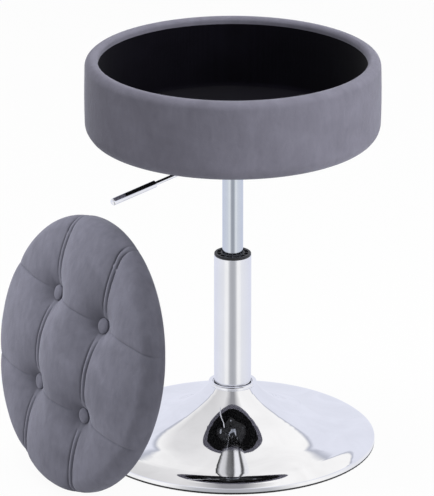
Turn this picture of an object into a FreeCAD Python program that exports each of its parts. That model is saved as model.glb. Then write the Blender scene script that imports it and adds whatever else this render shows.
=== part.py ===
import FreeCAD, Part
import math
import os

# Vanity stool: a padded round storage tray on a gas lift and a trumpet base, with a tufted lift-off lid.
# Millimetres and degrees, +Z up. The origin is on the floor, on the axis of the column, and the front faces -Y.
# The seat is drawn at the top of its stroke. The lid stands on the floor in front of the stool, to the left.

# Base
base_radius = 192.5
base_wall = 1.5
rim_height = 8.5
rim_edge_round = 2.0
cone_slope = 49.0
flare_slope = 30.0
disc_slope = 5.0
roll_slope = 42.0
throat_reach = 21.2
throat_round = 140.0
flare_round = 192.0
roll_width = 11.2
roll_round = 40.0
neck_height = 83.0
floor_ring_foot = 3.0
floor_ring_width = 11.0
floor_ring_upstand = 2.5
hub_wall = 4.6
hub_bottom = 32.0
hub_lip_height = 4.6
hub_lip_round = 1.3
hub_bead_reach = 1.2
hub_bead_round = 1.9
hub_bead_gap = 0.4
neck_gap = 1.5
neck_gap_depth = 8.0
gusset_count = 4
gusset_thickness = 3.0
gusset_reach = 76.0
gusset_foot = 14.0

# Column of the gas lift
column_radius = 25.0
column_wall = 1.8
column_bottom = 35.0
column_top = 268.0
column_edge_round = 0.8
taper_per_side = 1.0 / 40.0
guide_length = 70.0
guide_flange = 2.8
guide_flange_inset = 0.3
guide_pocket_count = 12
guide_pocket_depth = 4.0
guide_pocket_wall = 2.2
guide_pocket_rib = 1.6

# Thrust bearing and rod
bottom_plate_thickness = 4.0
race_thickness = 2.0
race_radius = 12.0
ball_count = 10
ball_radius = 2.0
rod_radius = 5.0
rod_end_radius = 4.0
rod_tail = 3.0
rod_head_radius = 6.5
rod_head_height = 2.0
clip_thickness = 1.4
clip_width = 4.5
clip_groove = 0.8
clip_opening = 70.0
bump_radius = 10.0
bump_height = 14.0
piston_height = 15.0
seal_groove = 1.2

# Pressure tube
stroke = 100.0
tube_radius = 14.0
tube_wall = 2.0
tube_lip = 1.5
tube_lip_width = 4.0
rod_guide_height = 15.0
valve_height = 45.0
pin_radius = 2.5
pin_tail = 3.0

# Seat plate and lever
socket_wall = 5.0
socket_depth = 21.0
plate_side = 150.0
plate_thickness = 2.5
plate_rim = 8.0
plate_corner = 16.0
screw_spacing = 104.0
screw_radius = 3.0
screw_head_radius = 6.0
screw_head_height = 3.4
screw_head_round = 1.6
nut_wall = 1.5
nut_flange_radius = 9.0
nut_flange_thickness = 1.4
bracket_length = 92.0
bracket_width = 52.0
bracket_wall = 2.5
bracket_bend = 4.0
bracket_rise = 16.0
lever_azimuth = 213.0
lever_droop = 11.3
lever_drop = 20.0
lever_reach = 190.0
lever_overrun = 5.0
lever_radius = 2.75
pivot_offset = 30.0
pivot_radius = 2.5
pivot_head_radius = 4.0
pivot_head_height = 1.5
boss_wall = 3.0
grip_radius = 4.9
grip_length = 70.0
grip_tip_cover = 3.0
grip_shoulder = 1.0
grip_tip_round = 4.4
tube_top_drop = 10.5

# Storage tray
tray_underside = 435.0
tray_height = 109.0
tray_radius = 196.0
tray_bulge = 1.3
bulge_round = 700.0
tray_bottom_round = 22.0
rim_width = 17.5
rim_flat = 1.1
rim_outer_round = 11.0
board_thickness = 12.0
board_edge = 3.0
tray_wall_thickness = 6.0
cover_thickness = 2.0
cover_tuck = 9.0
hem_width = 24.0
lining_thickness = 1.2
cloth_thickness = 0.8
cloth_overlap = 8.0

# Lid
lid_radius = 183.5
lid_crown = 58.0
lid_crown_radius = 690.0
lid_top_round = 22.0
lid_back_round = 12.0
lid_board_thickness = 12.0
lid_hem_width = 22.0
locator_radius = 165.0
locator_thickness = 5.0
seam_spacing = 120.0
crease_spacing = 131.0
button_turn = -5.0
button_radius = 10.5
button_height = 5.5
button_edge_round = 2.4
button_dome = 1.4
tuft_depth = 21.5
tuft_lip_round = 16.0
tuft_flare_slope = 22.0
tuft_flare_rise = 4.0
seam_line_gap = 8.5
seam_groove_radius = 3.0
seam_groove_lift = 0.9
crease_radius = 9.0
crease_lift = 6.6
tie_radius = 1.0
knot_radius = 2.8
knot_depth = 4.0
lid_azimuth = 213.0
lid_lean = 11.0
lid_distance = 230.0
lid_sideways = 13.0

# Small rounds, and how far a cutting shape reaches past what it cuts
fine_round = 0.6
edge_round = 1.0
stout_round = 2.0
cut_over = 1.0
corner_room = 0.98
tiny = 1e-6

# Clearances
layer_gap = 0.1
running_gap = 0.05
press_gap = 0.05
stop_gap = 0.5
contact_gap = 0.1
side_play = 0.3

Vector = FreeCAD.Vector
Z_AXIS = Vector(0, 0, 1)
Y_AXIS = Vector(0, 1, 0)
ORIGIN = Vector(0, 0, 0)


def tangent(angle):
    """Tangent of an angle in degrees."""
    return math.tan(math.radians(angle))


def sine(angle):
    """Sine of an angle in degrees."""
    return math.sin(math.radians(angle))


def cosine(angle):
    """Cosine of an angle in degrees."""
    return math.cos(math.radians(angle))


def unit(vector):
    """A copy of a vector with length one."""
    return vector * (1.0 / vector.Length)


def corner_reach(before, here, after, size):
    """How far along both sides of a corner a rounding arc of the given size reaches."""
    half = (before - here).getAngle(after - here) / 2
    return size / math.tan(half)


def rounded_wire(corners):
    """Closed wire in the XZ plane through (x, z) or (x, z, round) corners, each rounded by a tangent arc.

    A rounding that is too large for the sides next to it is made as large as they allow.
    """
    spots = [Vector(corner[0], 0, corner[1]) for corner in corners]
    sizes = [corner[2] if len(corner) > 2 else 0.0 for corner in corners]
    count = len(spots)
    reaches = []
    for i in range(count):
        reach = 0.0
        if sizes[i] > 0:
            reach = corner_reach(spots[i - 1], spots[i], spots[(i + 1) % count], sizes[i])
        reaches.append(reach)
    limits = [1.0] * count
    for i in range(count):
        following = (i + 1) % count
        room = corner_room * (spots[following] - spots[i]).Length
        wanted = reaches[i] + reaches[following]
        if wanted > room:
            limits[i] = min(limits[i], room / wanted)
            limits[following] = min(limits[following], room / wanted)
    edges = []
    ends = []
    for i in range(count):
        here = spots[i]
        to_before = unit(spots[i - 1] - here)
        to_after = unit(spots[(i + 1) % count] - here)
        reach = reaches[i] * limits[i]
        start = here + to_before * reach
        end = here + to_after * reach
        arc = None
        if reach > 0:
            half = to_before.getAngle(to_after) / 2
            size = sizes[i] * limits[i]
            middle = here + unit(to_before + to_after) * (size / math.sin(half) - size)
            arc = Part.Arc(start, middle, end).toShape()
        ends.append((start, arc, end))
    for i in range(count):
        start, arc, end = ends[i]
        if arc:
            edges.append(arc)
        next_start = ends[(i + 1) % count][0]
        if (next_start - end).Length > tiny:
            edges.append(Part.makeLine(end, next_start))
    return Part.Wire(edges)


def revolved(corners):
    """Solid of revolution about Z from the corners of half its section."""
    return Part.Face(rounded_wire(corners)).revolve(ORIGIN, Z_AXIS, 360)


def ring(inner, outer, bottom, top, edge_round=0.0):
    """Plain ring, or a disc where the inner radius is zero, with its outer edges rounded."""
    return revolved([(inner, bottom), (outer, bottom, edge_round), (outer, top, edge_round), (inner, top)])


def rod_between(start, end, radius):
    """Cylinder from one point to another."""
    return Part.makeCylinder(radius, (end - start).Length, start, end - start)


def around(shape, count):
    """Copies of a shape spread evenly about the Z axis."""
    copies = []
    for i in range(count):
        copy = shape.copy()
        copy.rotate(ORIGIN, Z_AXIS, 360.0 * i / count)
        copies.append(copy)
    return copies


def moved(shape, placement):
    """A copy of a shape carried to a placement."""
    copy = shape.copy()
    copy.transformShape(placement.toMatrix(), True)
    return copy


def save(name, shape):
    """Write one node, a solid or a group of solids, to its own file."""
    shape.exportStep("parts/" + name + ".step")


# Base: trumpet shell, hub tube, gussets and the rubber floor ring

hub_radius = column_radius + neck_gap + hub_wall
neck_radius = hub_radius + layer_gap
hub_top = neck_height + hub_lip_height


def sloping_line(radius, z, slope, inset):
    """A line that falls outwards through a point, moved inwards by the inset: height on the axis and fall."""
    fall = tangent(slope)
    return (z + fall * radius - inset / cosine(slope), fall)


def line_height(line, radius):
    """Height of a sloping line at a radius."""
    return line[0] - line[1] * radius


def crossing(first, second):
    """Radius and height where two sloping lines cross."""
    radius = (first[0] - second[0]) / (first[1] - second[1])
    return (radius, line_height(first, radius))


def trumpet_corners(inset):
    """Neck, throat, foot, shoulder and rim corners of the trumpet's outside, moved inwards by the inset."""
    shoulder_radius = base_radius - roll_width
    shoulder_z = rim_height + roll_width * tangent(roll_slope)
    throat_radius = neck_radius + throat_reach
    throat_z = neck_height - throat_reach * tangent(cone_slope)
    cone = sloping_line(neck_radius, neck_height, cone_slope, inset)
    flare = sloping_line(throat_radius, throat_z, flare_slope, inset)
    disc = sloping_line(shoulder_radius, shoulder_z, disc_slope, inset)
    roll = sloping_line(base_radius, rim_height, roll_slope, inset)
    rim_radius = base_radius - inset
    return [
        (neck_radius, line_height(cone, neck_radius)),
        crossing(cone, flare) + (throat_round + inset,),
        crossing(flare, disc) + (flare_round + inset,),
        crossing(disc, roll) + (roll_round - inset,),
        (rim_radius, line_height(roll, rim_radius), rim_edge_round - inset),
    ]


def make_base_shell():
    """Pressed trumpet: a cone that flares to a shallow disc, rolled over at the edge to a turned-down rim."""
    outside = trumpet_corners(0.0)
    inside = trumpet_corners(base_wall)
    lip = [(base_radius, floor_ring_foot), (base_radius - base_wall, floor_ring_foot)]
    return revolved(outside + lip + inside[::-1])


def make_floor_ring():
    """Rubber ring under the rim: a flat foot with an upstand gripped inside the lip."""
    outer = base_radius - layer_gap
    grip = base_radius - base_wall - layer_gap
    inner = base_radius - floor_ring_width
    return revolved([
        (inner, 0.0),
        (outer, 0.0, edge_round),
        (outer, floor_ring_foot),
        (grip, floor_ring_foot),
        (grip, floor_ring_foot + floor_ring_upstand),
        (inner, floor_ring_foot + floor_ring_upstand, edge_round),
    ])


def column_taper_radius(z):
    """Outside radius of the column, which narrows below the hub's open neck."""
    start = hub_top - neck_gap_depth
    return column_radius - max(0.0, start - z) * taper_per_side


def make_hub_socket():
    """Tube welded into the trumpet: a beaded lip, an open neck and a tapered seat for the column."""
    seat_top = hub_top - neck_gap_depth
    bead_bottom = neck_height + hub_bead_gap
    bead_radius = hub_radius + hub_bead_reach
    return revolved([
        (hub_radius, hub_bottom),
        (hub_radius, bead_bottom),
        (bead_radius, bead_bottom, hub_bead_round),
        (bead_radius, hub_top, hub_bead_round),
        (column_radius + neck_gap, hub_top, hub_lip_round),
        (column_radius + neck_gap, seat_top),
        (column_radius + press_gap, seat_top),
        (column_taper_radius(hub_bottom) + press_gap, hub_bottom),
    ])


def make_hub_gussets():
    """Radial ribs that brace the hub tube against the underside of the trumpet."""
    under = trumpet_corners(base_wall + layer_gap)
    throat_radius, throat_z = under[1][:2]
    end_z = throat_z - (gusset_reach - throat_radius) * tangent(flare_slope)
    space = revolved([
        (0.0, gusset_foot),
        (0.0, under[0][1]),
        under[0],
        under[1],
        (gusset_reach, end_z),
        (gusset_reach, gusset_foot),
    ])
    blade = Part.makeBox(gusset_reach, gusset_thickness, neck_height)
    blade.translate(Vector(0, -gusset_thickness / 2, 0))
    blade = blade.common(space)
    blade = blade.cut(Part.makeCylinder(hub_radius + layer_gap, neck_height))
    blade.rotate(ORIGIN, Z_AXIS, 180.0 / gusset_count)
    return Part.makeCompound(around(blade, gusset_count))


# Column: tapered tube with a rolled-in foot, guide bush and thrust bearing

column_bore = column_radius - column_wall
plate_bottom_z = column_bottom + column_wall
plate_top_z = plate_bottom_z + bottom_plate_thickness
lower_race_top = plate_top_z + race_thickness
ball_centre = lower_race_top + running_gap + ball_radius
upper_race_bottom = ball_centre + ball_radius + running_gap
upper_race_top = upper_race_bottom + race_thickness
rolled_foot_radius = race_radius


def make_column_tube():
    """Outer tube of the lift: straight above, tapered in the hub, with its foot rolled in under the plate."""
    taper_top = hub_top - neck_gap_depth
    foot = column_taper_radius(column_bottom)
    return revolved([
        (column_radius, column_top, column_edge_round),
        (column_radius, taper_top),
        (foot, column_bottom, column_edge_round),
        (rolled_foot_radius, column_bottom),
        (rolled_foot_radius, plate_bottom_z),
        (foot - column_wall, plate_bottom_z),
        (column_bore, taper_top),
        (column_bore, column_top, column_edge_round),
    ])


def make_guide_bush():
    """Plastic bush that guides the pressure tube: a flange on the column, with pockets between ribs in its top."""
    top = column_top + guide_flange
    foot = column_top - guide_length
    inner = tube_radius + running_gap
    outer = column_bore - layer_gap
    flange_radius = column_radius - guide_flange_inset
    bush = revolved([
        (inner, foot),
        (outer, foot, edge_round),
        (outer, column_top + layer_gap),
        (flange_radius, column_top + layer_gap),
        (flange_radius, top, edge_round),
        (inner, top, fine_round),
    ])
    pocket_inner = inner + guide_pocket_wall
    pocket_outer = outer - guide_pocket_wall
    pocket = ring(pocket_inner, pocket_outer, top - guide_pocket_depth, top + cut_over)
    rib = Part.makeBox(column_radius, guide_pocket_rib, guide_pocket_depth + 2 * cut_over)
    rib.translate(Vector(0, -guide_pocket_rib / 2, top - guide_pocket_depth - cut_over))
    pocket = pocket.cut(around(rib, guide_pocket_count))
    return bush.cut(pocket)


def make_bottom_plate():
    """Thick washer on the rolled foot, with a running hole for the end of the rod."""
    outer = column_taper_radius(column_bottom) - column_wall - layer_gap
    return ring(rod_end_radius + running_gap, outer, plate_bottom_z, plate_top_z)


def make_lower_race():
    """Lower washer of the thrust bearing."""
    return ring(rod_end_radius + running_gap, race_radius, plate_top_z, lower_race_top)


def make_bearing_balls():
    """Balls of the thrust bearing."""
    path = (rod_end_radius + race_radius) / 2
    return Part.makeCompound(around(Part.makeSphere(ball_radius, Vector(path, 0, ball_centre)), ball_count))


def make_upper_race():
    """Upper washer of the thrust bearing, under the shoulder of the rod."""
    return ring(rod_end_radius + press_gap, race_radius, upper_race_bottom, upper_race_top)


# Rod and piston, which turn with the seat and stay at one height

bump_top = upper_race_top + bump_height
tube_bottom = bump_top + stop_gap + stroke
rod_guide_bottom = tube_bottom + tube_lip
rod_guide_top = rod_guide_bottom + rod_guide_height
piston_bottom = rod_guide_top + stop_gap
piston_top = piston_bottom + piston_height
clip_top = plate_bottom_z - side_play
clip_bottom = clip_top - clip_thickness
rod_bottom = clip_bottom - rod_tail


def make_piston_rod():
    """Stepped rod: a grooved tail for the clip, a shoulder on the bearing and a riveted end over the piston."""
    groove = rod_end_radius - clip_groove
    return revolved([
        (0.0, rod_bottom),
        (rod_end_radius, rod_bottom, fine_round),
        (rod_end_radius, clip_bottom - press_gap),
        (groove, clip_bottom - press_gap),
        (groove, clip_top + press_gap),
        (rod_end_radius, clip_top + press_gap),
        (rod_end_radius, upper_race_top),
        (rod_radius, upper_race_top),
        (rod_radius, piston_bottom),
        (rod_end_radius, piston_bottom),
        (rod_end_radius, piston_top),
        (rod_head_radius, piston_top),
        (rod_head_radius, piston_top + rod_head_height, edge_round),
        (0.0, piston_top + rod_head_height),
    ])


def make_rod_clip():
    """Open spring clip in the groove of the rod, under the bottom plate."""
    inner = rod_end_radius - clip_groove + press_gap
    clip = ring(inner, inner + clip_width, clip_bottom, clip_top)
    reach = inner + clip_width + cut_over
    foot = Vector(0, 0, clip_bottom - cut_over)
    wedge = Part.makeCylinder(reach, clip_thickness + 2 * cut_over, foot, Z_AXIS, clip_opening)
    return clip.cut(wedge)


def make_bump_stop():
    """Rubber ring that ends the seat's way down."""
    return ring(rod_radius + press_gap, bump_radius, upper_race_top, bump_top, stout_round)


def make_piston_head():
    """Piston with a seal groove, riveted on the end of the rod."""
    outer = tube_radius - tube_wall - running_gap
    third = piston_height / 3
    return revolved([
        (rod_end_radius + press_gap, piston_bottom),
        (outer, piston_bottom, fine_round),
        (outer, piston_bottom + third),
        (outer - seal_groove, piston_bottom + third),
        (outer - seal_groove, piston_top - third),
        (outer, piston_top - third),
        (outer, piston_top, fine_round),
        (rod_end_radius + press_gap, piston_top),
    ])


# Pressure tube, which carries the seat up and down

lever_axis_z = tray_underside - lever_drop
tube_top = lever_axis_z - tube_top_drop
socket_bottom = tube_top - socket_depth
tube_bore = tube_radius - tube_wall
valve_top = tube_top - tube_lip
valve_bottom = valve_top - valve_height


def tube_taper_radius(z):
    """Outside radius of the pressure tube, which narrows inside the seat's socket."""
    return tube_radius - max(0.0, z - socket_bottom) * taper_per_side


def make_pressure_tube():
    """Cylinder of the lift: both ends crimped in over what they hold, the top tapered for the seat."""
    top_radius = tube_taper_radius(tube_top)
    return revolved([
        (tube_bore - tube_lip_width, tube_bottom),
        (tube_radius, tube_bottom, edge_round),
        (tube_radius, socket_bottom),
        (top_radius, tube_top, fine_round),
        (tube_bore - tube_lip_width, tube_top),
        (tube_bore - tube_lip_width, valve_top),
        (tube_bore, valve_top),
        (tube_bore, rod_guide_bottom),
        (tube_bore - tube_lip_width, rod_guide_bottom),
    ])


def make_rod_guide():
    """Guide and seal in the lower end of the pressure tube."""
    return ring(rod_radius + running_gap, tube_bore - press_gap, rod_guide_bottom, rod_guide_top, fine_round)


def make_valve_body():
    """Plug in the upper end of the pressure tube, with the bore that the release pin slides in."""
    return ring(pin_radius + running_gap, tube_bore - press_gap, valve_bottom, valve_top, fine_round)


def make_release_pin():
    """Valve pin with a round head, which the inner end of the lever presses down."""
    head = lever_axis_z - (lever_radius + pin_radius + contact_gap) / cosine(lever_droop)
    bottom = valve_bottom - pin_tail
    return revolved([
        (0.0, bottom),
        (pin_radius, bottom, fine_round),
        (pin_radius, head + pin_radius, pin_radius),
        (0.0, head + pin_radius),
    ])


# Seat plate, lever bracket and lever, laid out along +X and turned to the lever's azimuth

plate_top = tray_underside - cloth_thickness
plate_bottom = plate_top - plate_thickness
bracket_bottom = socket_bottom + bracket_rise
pivot_z = lever_axis_z - pivot_offset * tangent(lever_droop)
pivot_point = Vector(pivot_offset, 0, pivot_z)
lever_direction = Vector(cosine(lever_droop), 0, -sine(lever_droop))
bracket_inside = bracket_width / 2 - bracket_wall


def turned_to_lever(shape):
    """Turn a shape from +X to the side that the lever points to."""
    return moved(shape, FreeCAD.Placement(ORIGIN, FreeCAD.Rotation(Z_AXIS, lever_azimuth)))


def screw_spots():
    """Middle points of the plate's four screws."""
    half = screw_spacing / 2
    return [Vector(x, y, 0) for x in (-half, half) for y in (-half, half)]


def at_screws(shape):
    """Copies of a shape at the plate's screws, turned with the plate."""
    copies = []
    for spot in screw_spots():
        copy = shape.copy()
        copy.translate(spot)
        copies.append(turned_to_lever(copy))
    return copies


def rounded_plate(side, corner, bottom, top):
    """Square plate with rounded corners."""
    plate = Part.makeBox(side, side, top - bottom, Vector(-side / 2, -side / 2, bottom))
    upright = [edge for edge in plate.Edges if abs(edge.Vertexes[0].Z - edge.Vertexes[-1].Z) > tiny]
    return plate.makeFillet(corner, upright)


def make_seat_plate():
    """Pressed plate under the tray, with a turned-down rim and four screw holes."""
    plate = rounded_plate(plate_side, plate_corner, plate_top - plate_rim, plate_top)
    hollow_side = plate_side - 2 * plate_thickness
    hollow = rounded_plate(hollow_side, plate_corner - plate_thickness, plate_top - 2 * plate_rim, plate_bottom)
    plate = turned_to_lever(plate.cut(hollow))
    hole = Part.makeCylinder(screw_radius + side_play, 2 * plate_rim, Vector(0, 0, plate_top - plate_rim))
    return plate.cut(at_screws(hole))


def make_lever_bracket():
    """Channel welded under the plate, with a hole for the taper socket and two for the pivot."""
    half = bracket_width / 2
    section = rounded_wire([
        (-half, plate_bottom),
        (-half, bracket_bottom, bracket_bend),
        (half, bracket_bottom, bracket_bend),
        (half, plate_bottom),
        (bracket_inside, plate_bottom),
        (bracket_inside, bracket_bottom + bracket_wall, bracket_bend - bracket_wall),
        (-bracket_inside, bracket_bottom + bracket_wall, bracket_bend - bracket_wall),
        (-bracket_inside, plate_bottom),
    ])
    channel = Part.Face(section).extrude(Vector(0, bracket_length, 0))
    channel.translate(Vector(0, -bracket_length / 2, 0))
    channel.rotate(ORIGIN, Z_AXIS, 90)
    socket_radius = tube_radius + socket_wall + layer_gap
    hole_foot = Vector(0, 0, bracket_bottom - bracket_wall)
    channel = channel.cut(Part.makeCylinder(socket_radius, 3 * bracket_wall, hole_foot))
    across = Vector(0, bracket_width, 0)
    channel = channel.cut(rod_between(pivot_point - across, pivot_point + across, pivot_radius + press_gap))
    return turned_to_lever(channel)


def make_taper_socket():
    """Tapered tube in the bracket that the pressure tube wedges into."""
    outer = tube_radius + socket_wall
    return revolved([
        (tube_radius + press_gap, socket_bottom),
        (outer, socket_bottom, edge_round),
        (outer, tube_top, edge_round),
        (tube_taper_radius(tube_top) + press_gap, tube_top),
    ])


def make_lever_pivot():
    """Rivet across the bracket that the lever rocks on."""
    half = bracket_width / 2
    reach = Vector(0, half + pivot_head_height, 0)
    pin = rod_between(pivot_point - reach, pivot_point + reach, pivot_radius)
    for side in (-1, 1):
        seat = pivot_point + Vector(0, side * half, 0)
        pin = pin.fuse(rod_between(seat, seat + Vector(0, side * pivot_head_height, 0), pivot_head_radius))
    return turned_to_lever(pin.removeSplitter())


def along_lever(reach):
    """Point on the lever's line at a distance from the column's axis."""
    return pivot_point + lever_direction * ((reach - pivot_offset) / cosine(lever_droop))


def make_lever_rod():
    """Round lever with a pivot boss that fills the bracket and an inner end over the release pin."""
    rod_end = along_lever(lever_reach) - lever_direction * grip_tip_cover
    rod = rod_between(along_lever(-lever_overrun), rod_end, lever_radius)
    half = Vector(0, bracket_inside - side_play, 0)
    boss = rod_between(pivot_point - half, pivot_point + half, pivot_radius + boss_wall)
    bore = rod_between(pivot_point - half * 2, pivot_point + half * 2, pivot_radius + running_gap)
    return turned_to_lever(rod.fuse(boss).cut(bore).removeSplitter())


def make_lever_grip():
    """Thicker round handle pushed over the end of the lever, with a domed tip."""
    bore = lever_radius + press_gap
    grip = revolved([
        (bore, 0.0),
        (grip_radius - grip_shoulder, 0.0),
        (grip_radius, grip_shoulder),
        (grip_radius, grip_length, grip_tip_round),
        (0.0, grip_length),
        (0.0, grip_length - grip_tip_cover + press_gap),
        (bore, grip_length - grip_tip_cover + press_gap),
    ])
    start = along_lever(lever_reach) - lever_direction * grip_length
    return turned_to_lever(moved(grip, FreeCAD.Placement(start, FreeCAD.Rotation(Z_AXIS, lever_direction))))


# Storage tray: base board, wall, padding, cover and lining, all round about the column's axis

rim_top = tray_underside + tray_height
opening_radius = tray_radius - rim_width
rim_inner_round = rim_width - rim_outer_round - rim_flat
board_top = tray_underside + board_thickness
bottom_flat_radius = tray_radius - tray_bottom_round
hem_radius = bottom_flat_radius - hem_width
wall_inner = opening_radius + lining_thickness + layer_gap
wall_outer = wall_inner + tray_wall_thickness
wall_top = rim_top - cover_tuck - layer_gap
floor_top = board_top + lining_thickness


def tray_outline(inset):
    """Corners of the tray's outside from the hem under it to the tuck inside its rim, moved in by the inset."""
    outer = tray_radius - inset
    bottom = tray_underside + inset
    top = rim_top - inset
    inner = opening_radius + inset
    return [
        (hem_radius, bottom),
        (outer, bottom, tray_bottom_round - inset),
        (outer + tray_bulge, (bottom + top) / 2, bulge_round),
        (outer, top, rim_outer_round - inset),
        (inner, top, rim_inner_round - inset),
        (inner, rim_top - cover_tuck),
    ]


def make_tray_cover():
    """Velvet cover: a hem under the board, a rounded bottom edge, a barrel side and a rolled rim."""
    return revolved(tray_outline(0.0) + tray_outline(cover_thickness)[::-1])


def make_tray_foam():
    """Padding between the wall and the cover, and over the top of the wall."""
    foam = revolved(tray_outline(cover_thickness + layer_gap))
    inside = Part.makeCylinder(wall_outer + layer_gap, wall_top + layer_gap)
    below = Part.makeCylinder(tray_radius + tray_bottom_round, board_top - board_edge)
    return foam.cut([inside, below])


def make_tray_wall():
    """Bent hoop that stands on the base board."""
    return ring(wall_inner, wall_outer, board_top, wall_top)


def make_tray_base_board():
    """Round board with a bevelled lower edge, a rebate for the hem and seats for the screw nuts."""
    rebate = tray_underside + cover_thickness + layer_gap
    board = revolved([
        (0.0, tray_underside),
        (hem_radius - layer_gap, tray_underside),
        (hem_radius - layer_gap, rebate),
        (bottom_flat_radius, rebate),
        (wall_outer, board_top - board_edge),
        (wall_outer, board_top),
        (0.0, board_top),
    ])
    barrel_radius = screw_radius + nut_wall + layer_gap
    barrel = Part.makeCylinder(barrel_radius, 2 * board_thickness, Vector(0, 0, plate_top))
    seat_radius = nut_flange_radius + layer_gap
    seat_z = board_top - nut_flange_thickness
    seat = Part.makeCylinder(seat_radius, board_thickness, Vector(0, 0, seat_z))
    return board.cut(at_screws(barrel.fuse(seat)))


def make_tray_lining():
    """Dark cloth lining: the floor and the inside of the wall."""
    outer = opening_radius + lining_thickness
    return revolved([
        (0.0, board_top),
        (outer, board_top),
        (outer, wall_top),
        (opening_radius, wall_top),
        (opening_radius, floor_top),
        (0.0, floor_top),
    ])


def make_bottom_cloth():
    """Black cloth under the tray, over the hem of the cover, with holes for the screws."""
    cloth = ring(0.0, hem_radius + cloth_overlap, plate_top, tray_underside)
    hole = Part.makeCylinder(screw_radius + side_play, 2 * board_thickness, Vector(0, 0, plate_bottom))
    return cloth.cut(at_screws(hole))


def make_plate_screws():
    """Four machine screws through the plate into the nuts in the board."""
    screw = revolved([
        (0.0, plate_bottom - screw_head_height),
        (screw_head_radius, plate_bottom - screw_head_height, screw_head_round),
        (screw_head_radius, plate_bottom),
        (screw_radius, plate_bottom),
        (screw_radius, board_top - nut_flange_thickness, fine_round),
        (0.0, board_top - nut_flange_thickness),
    ])
    return Part.makeCompound(at_screws(screw))


def make_tee_nuts():
    """Four nuts with flanges let into the top of the board."""
    nut = revolved([
        (screw_radius + press_gap, tray_underside + cover_thickness),
        (screw_radius + nut_wall, tray_underside + cover_thickness),
        (screw_radius + nut_wall, board_top - nut_flange_thickness),
        (nut_flange_radius, board_top - nut_flange_thickness),
        (nut_flange_radius, board_top),
        (screw_radius + press_gap, board_top),
    ])
    return Part.makeCompound(at_screws(nut))


# Lid, built with its back on the XY plane and then stood up on its edge

lid_hem_radius = lid_radius - lid_back_round - lid_hem_width
lid_board_radius = lid_radius - lid_back_round
crown_centre = Vector(0, 0, lid_crown - lid_crown_radius)


def cushion_body(inset):
    """Lid's outside without tufts, moved in by the inset: a flat back, a rounded edge and a domed crown."""
    side = lid_radius - inset
    back_round = lid_back_round - inset
    top_round = lid_top_round - inset
    crown_radius = lid_crown_radius - inset
    round_centre = lid_radius - lid_top_round
    rise = math.sqrt((lid_crown_radius - lid_top_round) ** 2 - round_centre ** 2)
    shoulder = Vector(round_centre, 0, crown_centre.z + rise)
    outwards = unit(shoulder - crown_centre)
    join = shoulder + outwards * top_round
    over = unit(Vector(1, 0, 0) + outwards)
    back_centre = Vector(lid_radius - lid_back_round, 0, lid_back_round)
    halfway = unit(Vector(1, 0, -1))
    crown_top = crown_centre + Z_AXIS * crown_radius
    crown_middle = crown_centre + unit(unit(join - crown_centre) + Z_AXIS) * crown_radius
    back_start = back_centre - Z_AXIS * back_round
    back_end = Vector(side, 0, back_centre.z)
    side_end = Vector(side, 0, shoulder.z)
    centre = Vector(0, 0, inset)
    edges = [
        Part.makeLine(centre, back_start),
        Part.Arc(back_start, back_centre + halfway * back_round, back_end).toShape(),
        Part.makeLine(back_end, side_end),
        Part.Arc(side_end, shoulder + over * top_round, join).toShape(),
        Part.Arc(join, crown_middle, crown_top).toShape(),
        Part.makeLine(crown_top, centre),
    ]
    return Part.Face(Part.Wire(edges)).revolve(ORIGIN, Z_AXIS, 360)


def tuft_placements():
    """Places on the crown of the four tufts, each facing straight out of it."""
    places = []
    for x in (-seam_spacing / 2, seam_spacing / 2):
        for y in (-crease_spacing / 2, crease_spacing / 2):
            out = math.sqrt(lid_crown_radius ** 2 - x * x - y * y)
            away = Vector(x, y, out)
            turn = FreeCAD.Rotation(Z_AXIS, button_turn)
            away = turn.multVec(away)
            places.append(FreeCAD.Placement(crown_centre + away, FreeCAD.Rotation(Z_AXIS, away)))
    return places


def tuft_hollow(inset):
    """What a tuft takes out of the cushion: a pit for the button, a rounded lip and a flare up to the crown."""
    pit = button_radius + contact_gap
    lip_centre = Vector(pit + tuft_lip_round, 0, -tuft_flare_rise - tuft_lip_round * cosine(tuft_flare_slope))
    lip = tuft_lip_round - inset
    inwards = Vector(-1, 0, 0)
    upwards = Vector(-sine(tuft_flare_slope), 0, cosine(tuft_flare_slope))
    outwards = Vector(cosine(tuft_flare_slope), 0, sine(tuft_flare_slope))
    lip_start = lip_centre + inwards * lip
    lip_middle = lip_centre + unit(inwards + upwards) * lip
    lip_end = lip_centre + upwards * lip
    top_z = tuft_lip_round
    floor_z = -tuft_depth - inset
    flare_end = lip_end + outwards * ((top_z - lip_end.z) / outwards.z)
    corners = [
        lip_end,
        flare_end,
        Vector(0, 0, top_z),
        Vector(0, 0, floor_z),
        Vector(lip_start.x, 0, floor_z),
        lip_start,
    ]
    edges = [Part.makeLine(corners[i], corners[i + 1]) for i in range(len(corners) - 1)]
    edges.append(Part.Arc(lip_start, lip_middle, lip_end).toShape())
    return Part.Face(Part.Wire(edges)).revolve(ORIGIN, Z_AXIS, 360)


def crown_groove(offset, radius, lift, along_y):
    """Bent bar that cuts a groove over the crown in a plane at an offset from the lid's middle."""
    path = math.sqrt(lid_crown_radius ** 2 - offset ** 2) + lift
    sweep = math.degrees(math.asin((lid_radius + lid_top_round) / lid_crown_radius))
    middle = Vector(offset, 0, crown_centre.z)
    spot = middle + Vector(0, 0, path)
    circle = Part.Face(Part.Wire(Part.makeCircle(radius, spot, Y_AXIS)))
    circle.rotate(middle, Vector(1, 0, 0), -sweep)
    bar = circle.revolve(middle, Vector(1, 0, 0), 2 * sweep)
    turn = button_turn if along_y else button_turn + 90
    bar.rotate(ORIGIN, Z_AXIS, turn)
    return bar


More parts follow.
